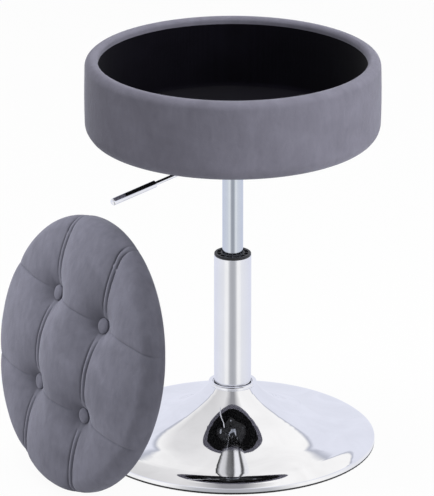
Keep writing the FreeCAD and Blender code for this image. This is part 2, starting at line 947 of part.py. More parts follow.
def cushion_form(inset):
    """Lid's outside with its crown, drawn-in edge, four tufts, two double seams and two creases."""
    cuts = [moved(tuft_hollow(inset), place) for place in tuft_placements()]
    for side in (-1, 1):
        for line in (-seam_line_gap / 2, seam_line_gap / 2):
            offset = side * seam_spacing / 2 + line
            cuts.append(crown_groove(offset, seam_groove_radius + inset, seam_groove_lift, True))
        cuts.append(crown_groove(side * crease_spacing / 2, crease_radius + inset, crease_lift, False))
    form = cushion_body(inset)
    for cut in cuts:
        form = form.cut(cut)
    return form


def tie_line(radius):
    """Straight bar from the back of a button down through the lid, in the button's own place."""
    top = -tuft_depth + contact_gap
    return Part.makeCylinder(radius, lid_crown, Vector(0, 0, top - lid_crown))


def below_plane(height):
    """Block under a height, wide enough for the whole lid."""
    return Part.makeCylinder(2 * lid_radius, lid_crown, Vector(0, 0, height - lid_crown))


def tie_holes():
    """Holes for the four ties."""
    return [moved(tie_line(tie_radius + layer_gap), place) for place in tuft_placements()]


def knot_spots():
    """Middles of the knots, where the ties reach the recesses in the back of the board."""
    spots = []
    for place in tuft_placements():
        down = place.Rotation.multVec(Z_AXIS)
        spots.append(place.Base - down * ((place.Base.z - knot_depth) / down.z))
    return spots


def make_lid_cover():
    """Tufted velvet cover with a hem turned under the board."""
    back_opening = Part.makeCylinder(lid_hem_radius, cover_thickness + layer_gap)
    return cushion_form(0.0).cut(cushion_form(cover_thickness)).cut(back_opening).cut(tie_holes())


def make_lid_foam():
    """Tufted padding over the board and round its edge."""
    board_space = Part.makeCylinder(lid_board_radius + layer_gap, lid_board_thickness)
    return cushion_form(cover_thickness + layer_gap).cut(board_space).cut(tie_holes())


def make_lid_board():
    """Round board with a rebate for the hem and recesses for the knots of the ties."""
    rebate = cover_thickness + layer_gap
    board = revolved([
        (0.0, 0.0),
        (lid_hem_radius - layer_gap, 0.0),
        (lid_hem_radius - layer_gap, rebate),
        (lid_board_radius, rebate),
        (lid_board_radius, lid_board_thickness),
        (0.0, lid_board_thickness),
    ])
    recesses = [Part.makeCylinder(knot_radius + side_play, knot_depth + knot_radius, Vector(spot.x, spot.y, 0))
                for spot in knot_spots()]
    return board.cut(tie_holes()).cut(recesses)


def make_lid_locator():
    """Thin disc on the back of the lid that drops into the tray's opening."""
    return ring(0.0, locator_radius, -locator_thickness, 0.0)


def make_lid_underside_cloth():
    """Black cloth over the back and the edge of the locating disc."""
    inner = locator_radius + layer_gap
    outer = inner + cloth_thickness
    back = -locator_thickness - cloth_thickness
    return revolved([
        (0.0, back),
        (outer, back, fine_round),
        (outer, 0.0),
        (inner, 0.0),
        (inner, -locator_thickness),
        (0.0, -locator_thickness),
    ])


def make_lid_buttons():
    """Four covered buttons at the bottom of the tufts."""
    bottom = -tuft_depth + contact_gap
    button = revolved([
        (0.0, bottom),
        (button_radius, bottom),
        (button_radius, bottom + button_height - button_dome, button_edge_round),
        (button_radius / 2, bottom + button_height, 2 * button_radius),
        (0.0, bottom + button_height),
    ])
    return Part.makeCompound([moved(button, place) for place in tuft_placements()])


def make_button_ties():
    """Four ties from the buttons through padding and board, each with a knot at the back."""
    ties = []
    for place, spot in zip(tuft_placements(), knot_spots()):
        tie = moved(tie_line(tie_radius), place).cut(below_plane(knot_depth))
        ties.append(tie.fuse(Part.makeSphere(knot_radius, spot)))
    return Part.makeCompound(ties)


def lid_placement():
    """Where the lid stands: on its edge on the floor, leaning back towards the stool."""
    out = Vector(cosine(lid_azimuth), sine(lid_azimuth), 0)
    across = Vector(-sine(lid_azimuth), cosine(lid_azimuth), 0)
    normal = out * cosine(lid_lean) + Z_AXIS * sine(lid_lean)
    upwards = Z_AXIS * cosine(lid_lean) - out * sine(lid_lean)
    edge_height = lid_back_round * (1 - sine(lid_lean))
    height = (lid_radius - lid_back_round) * cosine(lid_lean) + edge_height
    base = out * lid_distance + across * lid_sideways + Z_AXIS * height
    return FreeCAD.Placement(base, FreeCAD.Rotation(upwards.cross(normal), upwards, normal, "ZYX"))


def save_lid(name, shape):
    """Stand a piece of the lid on the floor and write it."""
    save(name, moved(shape, lid_placement()))


os.makedirs("parts", exist_ok=True)

save("base_shell", make_base_shell())
save("floor_ring", make_floor_ring())
save("hub_socket", make_hub_socket())
save("hub_gussets", make_hub_gussets())
save("column_tube", make_column_tube())
save("guide_bush", make_guide_bush())
save("bottom_plate", make_bottom_plate())
save("lower_race", make_lower_race())

save("bearing_balls", make_bearing_balls())
save("upper_race", make_upper_race())
save("piston_rod", make_piston_rod())
save("rod_clip", make_rod_clip())
save("bump_stop", make_bump_stop())
save("piston_head", make_piston_head())

save("pressure_tube", make_pressure_tube())
save("rod_guide", make_rod_guide())
save("valve_body", make_valve_body())
save("taper_socket", make_taper_socket())
save("seat_plate", make_seat_plate())
save("lever_bracket", make_lever_bracket())
save("lever_pivot", make_lever_pivot())
save("plate_screws", make_plate_screws())
save("tee_nuts", make_tee_nuts())
save("tray_base_board", make_tray_base_board())
save("tray_wall", make_tray_wall())
save("tray_foam", make_tray_foam())
save("tray_cover", make_tray_cover())
save("tray_lining", make_tray_lining())
save("bottom_cloth", make_bottom_cloth())

save("lever_rod", make_lever_rod())
save("lever_grip", make_lever_grip())
save("release_pin", make_release_pin())

save_lid("lid_board", make_lid_board())
save_lid("lid_locator", make_lid_locator())
save_lid("lid_underside_cloth", make_lid_underside_cloth())
save_lid("lid_foam", make_lid_foam())
save_lid("lid_cover", make_lid_cover())
save_lid("lid_buttons", make_lid_buttons())
save_lid("button_ties", make_button_ties())
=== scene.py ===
"""Vanity stool with a storage tray: finishes, soft pieces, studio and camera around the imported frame."""

import logging
import math
from dataclasses import dataclass
from enum import Enum
from typing import NamedTuple, Optional, Sequence, Union

import bmesh
import bpy
import numpy as np
from mathutils import Matrix, Vector, geometry, noise


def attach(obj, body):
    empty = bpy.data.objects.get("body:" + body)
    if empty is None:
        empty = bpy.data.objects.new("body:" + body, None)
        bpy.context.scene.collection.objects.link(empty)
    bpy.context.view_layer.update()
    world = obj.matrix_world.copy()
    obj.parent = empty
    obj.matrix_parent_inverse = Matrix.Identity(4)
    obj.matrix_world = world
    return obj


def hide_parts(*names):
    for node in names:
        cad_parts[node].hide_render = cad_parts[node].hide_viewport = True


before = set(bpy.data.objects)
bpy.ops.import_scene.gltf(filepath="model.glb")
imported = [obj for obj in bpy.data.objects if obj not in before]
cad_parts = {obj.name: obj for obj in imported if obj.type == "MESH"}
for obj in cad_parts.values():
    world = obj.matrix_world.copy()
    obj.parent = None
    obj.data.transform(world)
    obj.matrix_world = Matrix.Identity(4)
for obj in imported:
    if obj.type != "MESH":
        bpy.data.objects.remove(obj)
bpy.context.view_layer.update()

LOG = logging.getLogger("vanity_stool")
MM = 0.001
LAYER_GAP = 0.1
LEVEL_REACH = 0.01
WELD_REACH = 1e-6
ARC_STEP = math.radians(7.5)

Colour = tuple[float, float, float]
Spot = tuple[float, float, float]
Corner = tuple[float, ...]
Face = tuple[int, ...]
Stops = Sequence[tuple[float, Colour]]
Socket = bpy.types.NodeSocket

WHITE: Colour = (1.0, 1.0, 1.0)
BLACK: Colour = (0.0, 0.0, 0.0)


class Slot(Enum):
    """Material slots of the record for the new pieces; this script passes them along without reading them."""

    VELVET = "velvet"
    LINING = "lining"
    DUST_CLOTH = "dust_cloth"


class Body(Enum):
    """Moving bodies of the frame that new pieces ride on."""

    SEAT = "seat"
    LID = "lid"


class NodeBench:
    """A node tree, with short calls for the nodes that finishes, floor and surroundings share."""

    def __init__(self, tree: bpy.types.NodeTree) -> None:
        """Clear a tree and keep it at hand."""
        self.tree = tree
        self.tree.nodes.clear()

    def add(self, kind: str) -> bpy.types.Node:
        """Add a node of a kind, named without the words that every kind starts with."""
        return self.tree.nodes.new("ShaderNode" + kind)

    def feed(self, target: Socket, value: object) -> None:
        """Set a socket's value, or link it where the value is a socket.

        Args:
            target: the socket that is fed.
            value: another socket, a number, a vector or a colour.
        """
        if isinstance(value, bpy.types.NodeSocket):
            self.tree.links.new(value, target)
        elif target.type == "RGBA":
            target.default_value = (*value, 1.0)
        else:
            target.default_value = value

    def compute(self, operation: str, first: Socket, second: Union[Socket, float] = 0.0) -> Socket:
        """A sum on a socket and a second socket or number.

        Args:
            operation: the sum's name.
            first: the first socket.
            second: another socket or a number.

        Returns:
            The result.
        """
        node = self.add("Math")
        node.operation = operation
        self.feed(node.inputs[0], first)
        self.feed(node.inputs[1], second)
        return node.outputs[0]

    def ramp(self, factor: Socket, stops: Stops) -> Socket:
        """Colours spread over a factor.

        Args:
            factor: the socket that chooses among the colours.
            stops: places from 0 to 1, each with its colour.

        Returns:
            The colour.
        """
        node = self.add("ValToRGB")
        while len(node.color_ramp.elements) < len(stops):
            node.color_ramp.elements.new(0.5)
        for element, (place, colour) in zip(node.color_ramp.elements, stops):
            element.position = place
            element.color = (*colour, 1.0)
        self.feed(node.inputs["Fac"], factor)
        return node.outputs["Color"]

    def blended(self, factor: object, first: object, second: object, mode: str = "MIX") -> Socket:
        """Two colours mixed by a factor.

        Args:
            factor: share of the second colour, a socket or a number.
            first: the first colour or its socket.
            second: the second colour or its socket.
            mode: how the second colour is laid over the first.

        Returns:
            The mixed colour.
        """
        node = self.add("MixRGB")
        node.blend_type = mode
        for name, given in (("Fac", factor), ("Color1", first), ("Color2", second)):
            self.feed(node.inputs[name], given)
        return node.outputs["Color"]

    def split(self, vector: Socket) -> bpy.types.NodeOutputs:
        """A vector taken apart.

        Args:
            vector: the vector's socket.

        Returns:
            Its X, Y and Z outputs.
        """
        node = self.add("SeparateXYZ")
        self.feed(node.inputs[0], vector)
        return node.outputs

    def bearing(self, way: bpy.types.NodeOutputs) -> Socket:
        """Angle of a way about the Z axis, 0 straight ahead of the stool and positive to the right."""
        return self.compute("ARCTAN2", way["X"], self.compute("MULTIPLY", way["Y"], -1.0))

    def seen(self) -> Socket:
        """Factor that is 1 for what the camera, a mirror or a glass shows, and 0 for the light on surfaces.

        Returns:
            The factor.
        """
        rays = self.add("LightPath").outputs
        mirrored = self.compute("MAXIMUM", rays["Is Camera Ray"], rays["Is Glossy Ray"])
        return self.compute("MAXIMUM", mirrored, rays["Is Transmission Ray"])

    def finish_with(self, output: str, factor: Socket, first: Socket, second: Socket) -> None:
        """End the tree with two shaders mixed by a factor.

        Args:
            output: kind of the tree's output node.
            factor: share of the second shader.
            first: the first shader.
            second: the second shader.
        """
        mix = self.add("MixShader")
        for place, given in enumerate((factor, first, second)):
            self.feed(mix.inputs[place], given)
        self.feed(self.add(output).inputs["Surface"], mix.outputs[0])


class NodeSheet(NodeBench):
    """The nodes of a surface finish, laid round one shader."""

    def __init__(self, name: str) -> None:
        """Start a material with a shader, an output and the piece's own coordinates.

        Args:
            name: the material's name.
        """
        self.material = bpy.data.materials.new(name)
        self.material.use_nodes = True
        super().__init__(self.material.node_tree)
        self.shader = self.add("BsdfPrincipled")
        self.feed(self.add("OutputMaterial").inputs["Surface"], self.shader.outputs["BSDF"])
        self.place = self.add("TexCoord").outputs["Object"]

    def put(self, socket: str, value: object) -> None:
        """Set or link a value of the shader."""
        self.feed(self.shader.inputs[socket], value)

    def stretched(self, factors: tuple[float, float, float]) -> Socket:
        """Coordinates scaled along each axis.

        Args:
            factors: scale along the piece's X, Y and Z.

        Returns:
            The scaled coordinates.
        """
        node = self.add("Mapping")
        self.feed(node.inputs["Scale"], factors)
        self.feed(node.inputs["Vector"], self.place)
        return node.outputs["Vector"]

    def cloud(self, scale: float, detail: float, swirl: float = 0.0,
              place: Optional[Socket] = None) -> Socket:
        """Soft noise.

        Args:
            scale: patches to a metre.
            detail: octaves of finer noise.
            swirl: how far the patches are swirled.
            place: coordinates, where they aren't the piece's own.

        Returns:
            The noise, from 0 to 1.
        """
        node = self.add("TexNoise")
        self.feed(node.inputs["Scale"], scale)
        self.feed(node.inputs["Detail"], detail)
        self.feed(node.inputs["Distortion"], swirl)
        self.feed(node.inputs["Vector"], place or self.place)
        return node.outputs[0]

    def wave(self, scale: float, axis: str, wander: float) -> Socket:
        """Bands along one axis, for a weave or a grain.

        Args:
            scale: how closely the bands follow each other.
            axis: X, Y, Z or DIAGONAL, the way that the bands are stacked.
            wander: how far the bands stray.

        Returns:
            The bands, from 0 to 1.
        """
        node = self.add("TexWave")
        node.bands_direction = axis
        self.feed(node.inputs["Scale"], scale)
        self.feed(node.inputs["Distortion"], wander)
        self.feed(node.inputs["Vector"], self.place)
        return node.outputs["Fac"]

    def level(self, factor: Socket, low: float, high: float) -> Socket:
        """A factor from 0 to 1 carried to another range.

        Args:
            factor: the factor.
            low: what 0 becomes.
            high: what 1 becomes.

        Returns:
            The carried factor.
        """
        node = self.add("MapRange")
        self.feed(node.inputs["To Min"], low)
        self.feed(node.inputs["To Max"], high)
        self.feed(node.inputs["Value"], factor)
        return node.outputs["Result"]

    def joined(self, first: Socket, second: Socket, share: float) -> Socket:
        """Two factors mixed.

        Args:
            first: the first factor.
            second: the second factor.
            share: the second's share, from 0 to 1.

        Returns:
            The mixed factor.
        """
        node = self.add("Mix")
        self.feed(node.inputs["Factor"], share)
        self.feed(node.inputs["A"], first)
        self.feed(node.inputs["B"], second)
        return node.outputs["Result"]

    def painted_fold_shade(self, colour: Socket, reach: float, least: float) -> Socket:
        """A colour with painted shade down in folds, darkened where ambient occlusion finds the surface
        closed in.

        Args:
            colour: the open surface's colour.
            reach: how wide a fold counts, in metres.
            least: share of the colour that is left where a fold closes.

        Returns:
            The colour, with its painted shade.
        """
        # Painted shade: ambient occlusion darkens the colour in folds.
        fold_occlusion = self.add("AmbientOcclusion")
        fold_occlusion.only_local = True
        self.feed(fold_occlusion.inputs["Distance"], reach)
        node = self.add("VectorMath")
        node.operation = "SCALE"
        self.feed(node.inputs[0], colour)
        self.feed(node.inputs["Scale"], self.level(fold_occlusion.outputs["AO"], least, 1.0))
        return node.outputs[0]

    def bump(self, height: Socket, strength: float, distance: float,
             under: Optional[Socket] = None) -> Socket:
        """Relief from a height, over another relief where one is given.

        Args:
            height: the height's socket.
            strength: how much of the relief shows.
            distance: the height of the relief, in metres.
            under: the relief below this one.

        Returns:
            The bent normal.
        """
        node = self.add("Bump")
        self.feed(node.inputs["Strength"], strength)
        self.feed(node.inputs["Distance"], distance)
        self.feed(node.inputs["Height"], height)
        if under is not None:
            self.feed(node.inputs["Normal"], under)
        return node.outputs["Normal"]


def shade(colour: Colour, factor: float) -> Colour:
    """A colour made darker or lighter by a factor."""
    return tuple(min(1.0, channel * factor) for channel in colour)


@dataclass(frozen=True)
class Finish:
    """A surface finish with a name and a main colour."""

    name: str
    colour: Colour

    def material(self) -> bpy.types.Material:
        """The finish's material, made when it is first asked for.

        Returns:
            The material.
        """
        made = bpy.data.materials.get(self.name)
        if made is None:
            sheet = NodeSheet(self.name)
            self.paint(sheet)
            made = sheet.material
        return made

    def toned(self, sheet: NodeSheet, factor: Socket, dark: float, light: float, spread: float) -> Socket:
        """The main colour, from a darker tone to a lighter one.

        Args:
            sheet: the material's nodes.
            factor: what chooses between the tones, from 0 to 1.
            dark: share of the colour that the dark tone has.
            light: share of the colour that the light tone has.
            spread: how far from the factor's middle the two tones are reached.

        Returns:
            The toned colour.
        """
        tones = ((0.5 - spread, shade(self.colour, dark)), (0.5 + spread, shade(self.colour, light)))
        return sheet.ramp(factor, tones)

    def paint(self, sheet: NodeSheet) -> None:
        """Write the finish's nodes into a material."""
        raise NotImplementedError


@dataclass(frozen=True)
class Velvet(Finish):
    """Short pile with brushed patches, soft streaks, painted shade in its folds and a light sheen on its
    edges.
    """

    patch_scale: float = 24.0
    streak: tuple[float, float, float] = (120.0, 120.0, 42.0)
    streak_share: float = 0.36
    contrast: float = 0.16
    tone_spread: float = 0.16
    # How wide a fold counts and how dark its painted shade goes.
    fold_shade_reach: float = 0.05
    fold_shade_least: float = 0.25
    roughness: tuple[float, float] = (0.86, 0.98)
    shine: float = 0.2
    sheen: float = 0.26
    sheen_roughness: float = 0.42
    sheen_tint: Colour = (0.74, 0.75, 0.86)
    nap_scale: float = 95.0
    nap_height: float = 0.0012
    pile_scale: float = 1300.0
    pile_height: float = 0.0004

    def paint(self, sheet: NodeSheet) -> None:
        """Brushed patches and streaks in the colour with painted shade in its folds, and a fine pile in the
        relief.

        Args:
            sheet: the material's nodes.
        """
        patches = sheet.cloud(self.patch_scale, detail=5.0, swirl=0.6)
        streaks = sheet.cloud(1.0, detail=4.0, swirl=0.5, place=sheet.stretched(self.streak))
        tone = sheet.joined(patches, streaks, self.streak_share)
        colour = self.toned(sheet, tone, 1 - self.contrast, 1 + self.contrast, self.tone_spread)
        # Painted shade: the colour is darkened in folds by ambient occlusion.
        sheet.put("Base Color", sheet.painted_fold_shade(colour, self.fold_shade_reach, self.fold_shade_least))
        sheet.put("Roughness", sheet.level(tone, *self.roughness))
        sheet.put("Specular IOR Level", self.shine)
        sheet.put("Sheen Weight", self.sheen)
        sheet.put("Sheen Roughness", self.sheen_roughness)
        sheet.put("Sheen Tint", self.sheen_tint)
        nap = sheet.cloud(self.nap_scale, detail=4.0, swirl=0.8)
        brushed = sheet.bump(nap, strength=0.35, distance=self.nap_height)
        pile = sheet.cloud(self.pile_scale, detail=2.0)
        sheet.put("Normal", sheet.bump(pile, strength=0.25, distance=self.pile_height, under=brushed))


@dataclass(frozen=True)
class WovenCloth(Finish):
    """Plain cloth with two sets of threads and a little slub."""

    thread_scale: float = 190.0
    sheen: float = 0.12
    shine: float = 0.22
    roughness: tuple[float, float] = (0.84, 0.96)
    sheen_roughness: float = 0.5
    slub: float = 0.6
    wear_scale: float = 22.0
    thread_share: float = 0.3
    thread_height: float = 0.0004

    def paint(self, sheet: NodeSheet) -> None:
        """Crossing threads in colour and relief, with slow wear over them.

        Args:
            sheet: the material's nodes.
        """
        warp, weft = (sheet.wave(self.thread_scale, axis, self.slub) for axis in ("X", "Y"))
        threads = sheet.joined(warp, weft, share=0.5)
        wear = sheet.cloud(self.wear_scale, detail=4.0, swirl=0.5)
        tone = sheet.joined(wear, threads, self.thread_share)
        sheet.put("Base Color", self.toned(sheet, tone, dark=0.72, light=1.3, spread=0.2))
        sheet.put("Roughness", sheet.level(tone, *self.roughness))
        sheet.put("Specular IOR Level", self.shine)
        sheet.put("Sheen Weight", self.sheen)
        sheet.put("Sheen Roughness", self.sheen_roughness)
        sheet.put("Normal", sheet.bump(threads, strength=0.35, distance=self.thread_height))


@dataclass(frozen=True)
class PlatedMetal(Finish):
    """Plated or ground metal, with handling marks and, where it is drawn, fine lines along it."""

    smooth: float = 0.03
    dull: float = 0.07
    lines: float = 0.0
    mark_scale: float = 17.0
    line_scale: tuple[float, float, float] = (900.0, 900.0, 6.0)
    line_height: float = 0.0001

    def paint(self, sheet: NodeSheet) -> None:
        """Slow changes of gloss and tone, with fine lines along the drawn tube.

        Args:
            sheet: the material's nodes.
        """
        tone = sheet.cloud(self.mark_scale, detail=5.0, swirl=1.5)
        if self.lines > 0:
            drawn = sheet.cloud(1.0, detail=2.0, place=sheet.stretched(self.line_scale))
            tone = sheet.joined(tone, drawn, self.lines)
            sheet.put("Normal", sheet.bump(drawn, strength=0.06, distance=self.line_height))
        sheet.put("Base Color", self.toned(sheet, tone, dark=0.94, light=1.04, spread=0.25))
        sheet.put("Metallic", 1.0)
        sheet.put("Roughness", sheet.level(tone, self.smooth, self.dull))


@dataclass(frozen=True)
class Moulded(Finish):
    """Moulded plastic, rubber or baked paint with a fine grain."""

    roughness: float = 0.5
    grain_scale: float = 900.0
    grain: float = 0.2
    grain_height: float = 0.0003
    tone_scale: float = 45.0

    def paint(self, sheet: NodeSheet) -> None:
        """A fine grain in the relief and slow changes of tone and gloss.

        Args:
            sheet: the material's nodes.
        """
        tone = sheet.cloud(self.tone_scale, detail=4.0, swirl=0.4)
        sheet.put("Base Color", self.toned(sheet, tone, dark=0.8, light=1.25, spread=0.2))
        sheet.put("Roughness", sheet.level(tone, self.roughness - 0.07, self.roughness + 0.09))
        grain = sheet.cloud(self.grain_scale, detail=2.0)
        sheet.put("Normal", sheet.bump(grain, self.grain, self.grain_height))


@dataclass(frozen=True)
class Plywood(Finish):
    """Birch board with long grain and open pores."""

    grain_scale: float = 26.0
    grain_wander: float = 7.0
    pore_scale: tuple[float, float, float] = (40.0, 900.0, 900.0)
    pore_share: float = 0.45
    pore_depth: float = 0.0004
    roughness: tuple[float, float] = (0.5, 0.68)

    def paint(self, sheet: NodeSheet) -> None:
        """Wandering grain bands with darker pores.

        Args:
            sheet: the material's nodes.
        """
        grain = sheet.wave(self.grain_scale, "Y", self.grain_wander)
        pores = sheet.cloud(1.0, detail=4.0, swirl=0.2, place=sheet.stretched(self.pore_scale))
        tone = sheet.joined(grain, pores, self.pore_share)
        sheet.put("Base Color", self.toned(sheet, tone, dark=0.66, light=1.1, spread=0.3))
        sheet.put("Roughness", sheet.level(tone, *self.roughness))
        sheet.put("Normal", sheet.bump(pores, strength=0.2, distance=self.pore_depth))


@dataclass(frozen=True)
class Twine(Finish):
    """Waxed upholstery twine with a twisted lay."""

    lay_scale: float = 420.0
    strand_height: float = 0.0004
    roughness: tuple[float, float] = (0.6, 0.8)

    def paint(self, sheet: NodeSheet) -> None:
        """Twisted strands in colour and relief.

        Args:
            sheet: the material's nodes.
        """
        lay = sheet.wave(self.lay_scale, "DIAGONAL", wander=1.0)
        sheet.put("Base Color", self.toned(sheet, lay, dark=0.6, light=1.0, spread=0.3))
        sheet.put("Roughness", sheet.level(lay, *self.roughness))
        sheet.put("Normal", sheet.bump(lay, strength=0.5, distance=self.strand_height))


# The tray, the lid and the buttons are covered in one velvet; its tone is a little darker on the tray and
# darker still on the buttons, as painted shade.
TRAY_VELVET = Velvet("grey_velvet_tray", (0.142, 0.139, 0.174), contrast=0.11)
LID_VELVET = Velvet("grey_velvet_lid", (0.143, 0.143, 0.180))
SHADED_BUTTON_VELVET = Velvet("grey_velvet_button_shaded", (0.132, 0.132, 0.167), patch_scale=60.0,
                       streak=(120.0, 120.0, 120.0), sheen=0.24)
NAVY_LINING = WovenCloth("navy_lining_weave", (0.0030, 0.0027, 0.0048), 190.0, sheen=0.02, shine=0.10)
BLACK_CLOTH = WovenCloth("black_dust_cloth_weave", (0.0045, 0.0045, 0.005), 120.0, sheen=0.02, shine=0.12)
LID_CLOTH = WovenCloth("black_lid_cloth_weave", (0.022, 0.022, 0.024), 120.0, sheen=0.05, shine=0.20)
MIRROR_CHROME = PlatedMetal("mirror_chrome_plate", (0.925, 0.925, 0.94), 0.012, 0.035)
SATIN_CHROME = PlatedMetal("satin_chrome_column", (0.88, 0.885, 0.91), 0.10, 0.17, lines=0.35)
GROUND_STEEL = PlatedMetal("ground_steel_tube", (0.66, 0.70, 0.76), 0.07, 0.12, lines=0.45)
INNER_STEEL = PlatedMetal("oiled_inner_steel", (0.48, 0.48, 0.49), 0.25, 0.4, lines=0.2)
ZINC_PLATE = PlatedMetal("bright_zinc_plate", (0.66, 0.68, 0.72), 0.22, 0.36)
BLACK_PAINT = Moulded("black_baked_paint", (0.010, 0.010, 0.011), 0.34, 700.0, grain=0.12)
BLACK_PLASTIC = Moulded("black_moulded_plastic", (0.012, 0.012, 0.013), 0.42, 1100.0, grain=0.2)
BLACK_RUBBER = Moulded("black_floor_rubber", (0.014, 0.014, 0.014), 0.62, 800.0, grain=0.3)
BIRCH_PLYWOOD = Plywood("birch_plywood_grain", (0.58, 0.42, 0.25))
WAXED_TWINE = Twine("waxed_tuft_twine", (0.34, 0.29, 0.21))

NODE_FINISHES: dict[Finish, tuple[str, ...]] = {
    MIRROR_CHROME: ("base_shell", "hub_socket", "lever_rod", "lever_grip"),
    SATIN_CHROME: ("column_tube",),
    GROUND_STEEL: ("pressure_tube",),
    INNER_STEEL: ("bottom_plate", "lower_race", "bearing_balls", "upper_race", "piston_rod", "rod_clip",
                  "piston_head", "rod_guide", "valve_body", "release_pin"),
    ZINC_PLATE: ("lever_pivot", "plate_screws", "tee_nuts", "taper_socket"),
    BLACK_PAINT: ("hub_gussets", "seat_plate", "lever_bracket"),
    BLACK_PLASTIC: ("guide_bush",),
    BLACK_RUBBER: ("floor_ring", "bump_stop"),
    BIRCH_PLYWOOD: ("tray_base_board", "tray_wall", "lid_board", "lid_locator"),
    WAXED_TWINE: ("button_ties",),
}

LID_NODES = ("lid_board", "lid_locator", "button_ties")


def dress_frame() -> None:
    """Give every rigid node of the frame its finish, and keep the lid's nodes out of the metal's mirror."""
    for finish, names in NODE_FINISHES.items():
        for name in names:
            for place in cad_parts[name].material_slots:
                place.material = finish.material()
            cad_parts[name].visible_glossy = name not in LID_NODES
        LOG.info("%s on %s", finish.name, ", ".join(names))


def unit(vector: np.ndarray) -> np.ndarray:
    """A copy of a vector with length one."""
    return vector / np.linalg.norm(vector)


def turned(points: np.ndarray, angle: float) -> np.ndarray:
    """Points turned about the Z axis.

    Args:
        points: flat or solid places, one row each, or a single place.
        angle: the turn, in radians.

    Returns:
        The turned points.
    """
    c, s = math.cos(angle), math.sin(angle)
    moved = points.copy()
    moved[..., 0] = c * points[..., 0] - s * points[..., 1]
    moved[..., 1] = s * points[..., 0] + c * points[..., 1]
    return moved


def reach(points: np.ndarray) -> np.ndarray:
    """Distance of each point from the Z axis."""
    return np.hypot(points[:, 0], points[:, 1])


def smooth_step(low: float, high: float, values: np.ndarray) -> np.ndarray:
    """Values eased from 0 at the low limit to 1 at the high one."""
    t = np.clip((values - low) / (high - low), 0.0, 1.0)
    return t * t * (3 - 2 * t)


@dataclass(frozen=True)
class Dip:
    """A bell-shaped hollow, with its depth and its width in millimetres."""

    depth: float
    width: float

    def at(self, distance: np.ndarray) -> np.ndarray:
        """Depth at a distance from the hollow's middle."""
        return self.depth * np.exp(-((distance / self.width) ** 2))


@dataclass(frozen=True)
class Ripple:
    """Soft uneven waves of a height and a scale in millimetres, with a seed that gives another pattern."""

    height: float
    scale: float
    seed: float

    def at(self, points: np.ndarray) -> np.ndarray:
        """Height of the waves at each point, above or below none."""
        shift = Vector((self.seed, 2 * self.seed, -self.seed))
        return self.height * np.array([noise.noise(Vector(point) / self.scale + shift) for point in points])


@dataclass(frozen=True)
class Grip:
    """How firmly a line or a spot holds the cloth near it: all of its strength up to near, none past far."""

    strength: float
    near: float
    far: float

    def at(self, distance: np.ndarray) -> np.ndarray:
        """Hold at a distance in millimetres, from 0 to 1."""
        return self.strength - self.strength * smooth_step(self.near, self.far, distance)


def corner_arc(before: np.ndarray, here: np.ndarray, after: np.ndarray, size: float) -> list[np.ndarray]:
    """Points of the arc that rounds a corner.

    Args:
        before: the corner before this one.
        here: the corner that is rounded.
        after: the corner after it.
        size: the arc's radius.

    Returns:
        Points from the arc's start to its end.
    """
    back, on = unit(before - here), unit(after - here)
    half = math.acos(float(np.clip(back @ on, -1.0, 1.0))) / 2
    centre = here + unit(back + on) * size / math.sin(half)
    spoke = here + back * size / math.tan(half) - centre
    turn = math.copysign(math.pi - 2 * half, back[1] * on[0] - back[0] * on[1])
    steps = max(2, math.ceil(abs(turn) / ARC_STEP))
    return [centre + turned(spoke, turn * i / steps) for i in range(steps + 1)]


def section_line(corners: Sequence[Corner], step: float) -> np.ndarray:
    """Closed section through rounded corners, with its straight runs divided.

    Args:
        corners: (radius, height) or (radius, height, rounding) in millimetres.
        step: longest straight run between two points.

    Returns:
        Points of the section, one row each.
    """
    spots = [np.array(corner[:2], dtype=float) for corner in corners]
    line: list[np.ndarray] = []
    for i, corner in enumerate(corners):
        if len(corner) > 2:
            line += corner_arc(spots[i - 1], spots[i], spots[(i + 1) % len(spots)], corner[2])
        else:
            line.append(spots[i])
    dense = []
    for here, after in zip(line, line[1:] + line[:1]):
        parts = max(1, math.ceil(np.linalg.norm(after - here) / step))
        dense += [here + (after - here) * k / parts for k in range(parts)]
    return np.array(dense)


def ring_faces(rows: int, columns: int, closed: bool = False) -> list[Face]:
    """Quads between rows of points that each run once round.

    Args:
        rows: number of rows.
        columns: points in a row.
        closed: whether the last row joins the first.

    Returns:
        The faces' corners.
    """
    faces = []
    for i in range(rows if closed else rows - 1):
        low, high = i * columns, (i + 1) % rows * columns
        for j in range(columns):
            k = (j + 1) % columns
            faces.append((low + j, low + k, high + k, high + j))
    return faces


def turned_points(line: np.ndarray, angles: np.ndarray) -> np.ndarray:
    """Points of a section carried round the Z axis.

    Args:
        line: the section's radius and height, one row for each of its points.
        angles: where copies of it stand, in radians.

    Returns:
        Points row by row of the section.
    """
    radii = line[:, 0][:, None]
    rise = np.broadcast_to(line[:, 1][:, None], (len(line), len(angles)))
    return np.stack([radii * np.cos(angles), radii * np.sin(angles), rise], axis=2).reshape(-1, 3)


def even_angles(count: int) -> np.ndarray:
    """Angles spread evenly round a circle, in radians."""
    return np.linspace(0.0, 2 * math.pi, count, endpoint=False)


def turned_sheet(corners: Sequence[Corner], step: float, columns: int) -> tuple[np.ndarray, list[Face]]:
    """A section from the axis out and back to it, carried once round.

    Args:
        corners: the section's corners, as section_line takes them.
        step: longest straight run between two of its points.
        columns: points round the axis.

    Returns:
        Points in millimetres and the faces' corners.
    """
    line = section_line(corners, step)
    return turned_points(line, even_angles(columns)), ring_faces(len(line), columns)


def gathered(points: np.ndarray, count: int, depth: float, where: np.ndarray) -> np.ndarray:
    """Points drawn in towards the Z axis in small even gathers.

    Args:
        points: places round the axis, in millimetres.
        count: gathers in a full turn.
        depth: share of the radius that a gather takes at its deepest.
        where: how much of it each point takes, from 0 to 1.

    Returns:
        The gathered points.
    """
    turn = np.arctan2(points[:, 1], points[:, 0])
    drawn = points.copy()
    drawn[:, :2] *= (1.0 - depth * where * (0.5 + 0.5 * np.cos(count * turn)))[:, None]
    return drawn


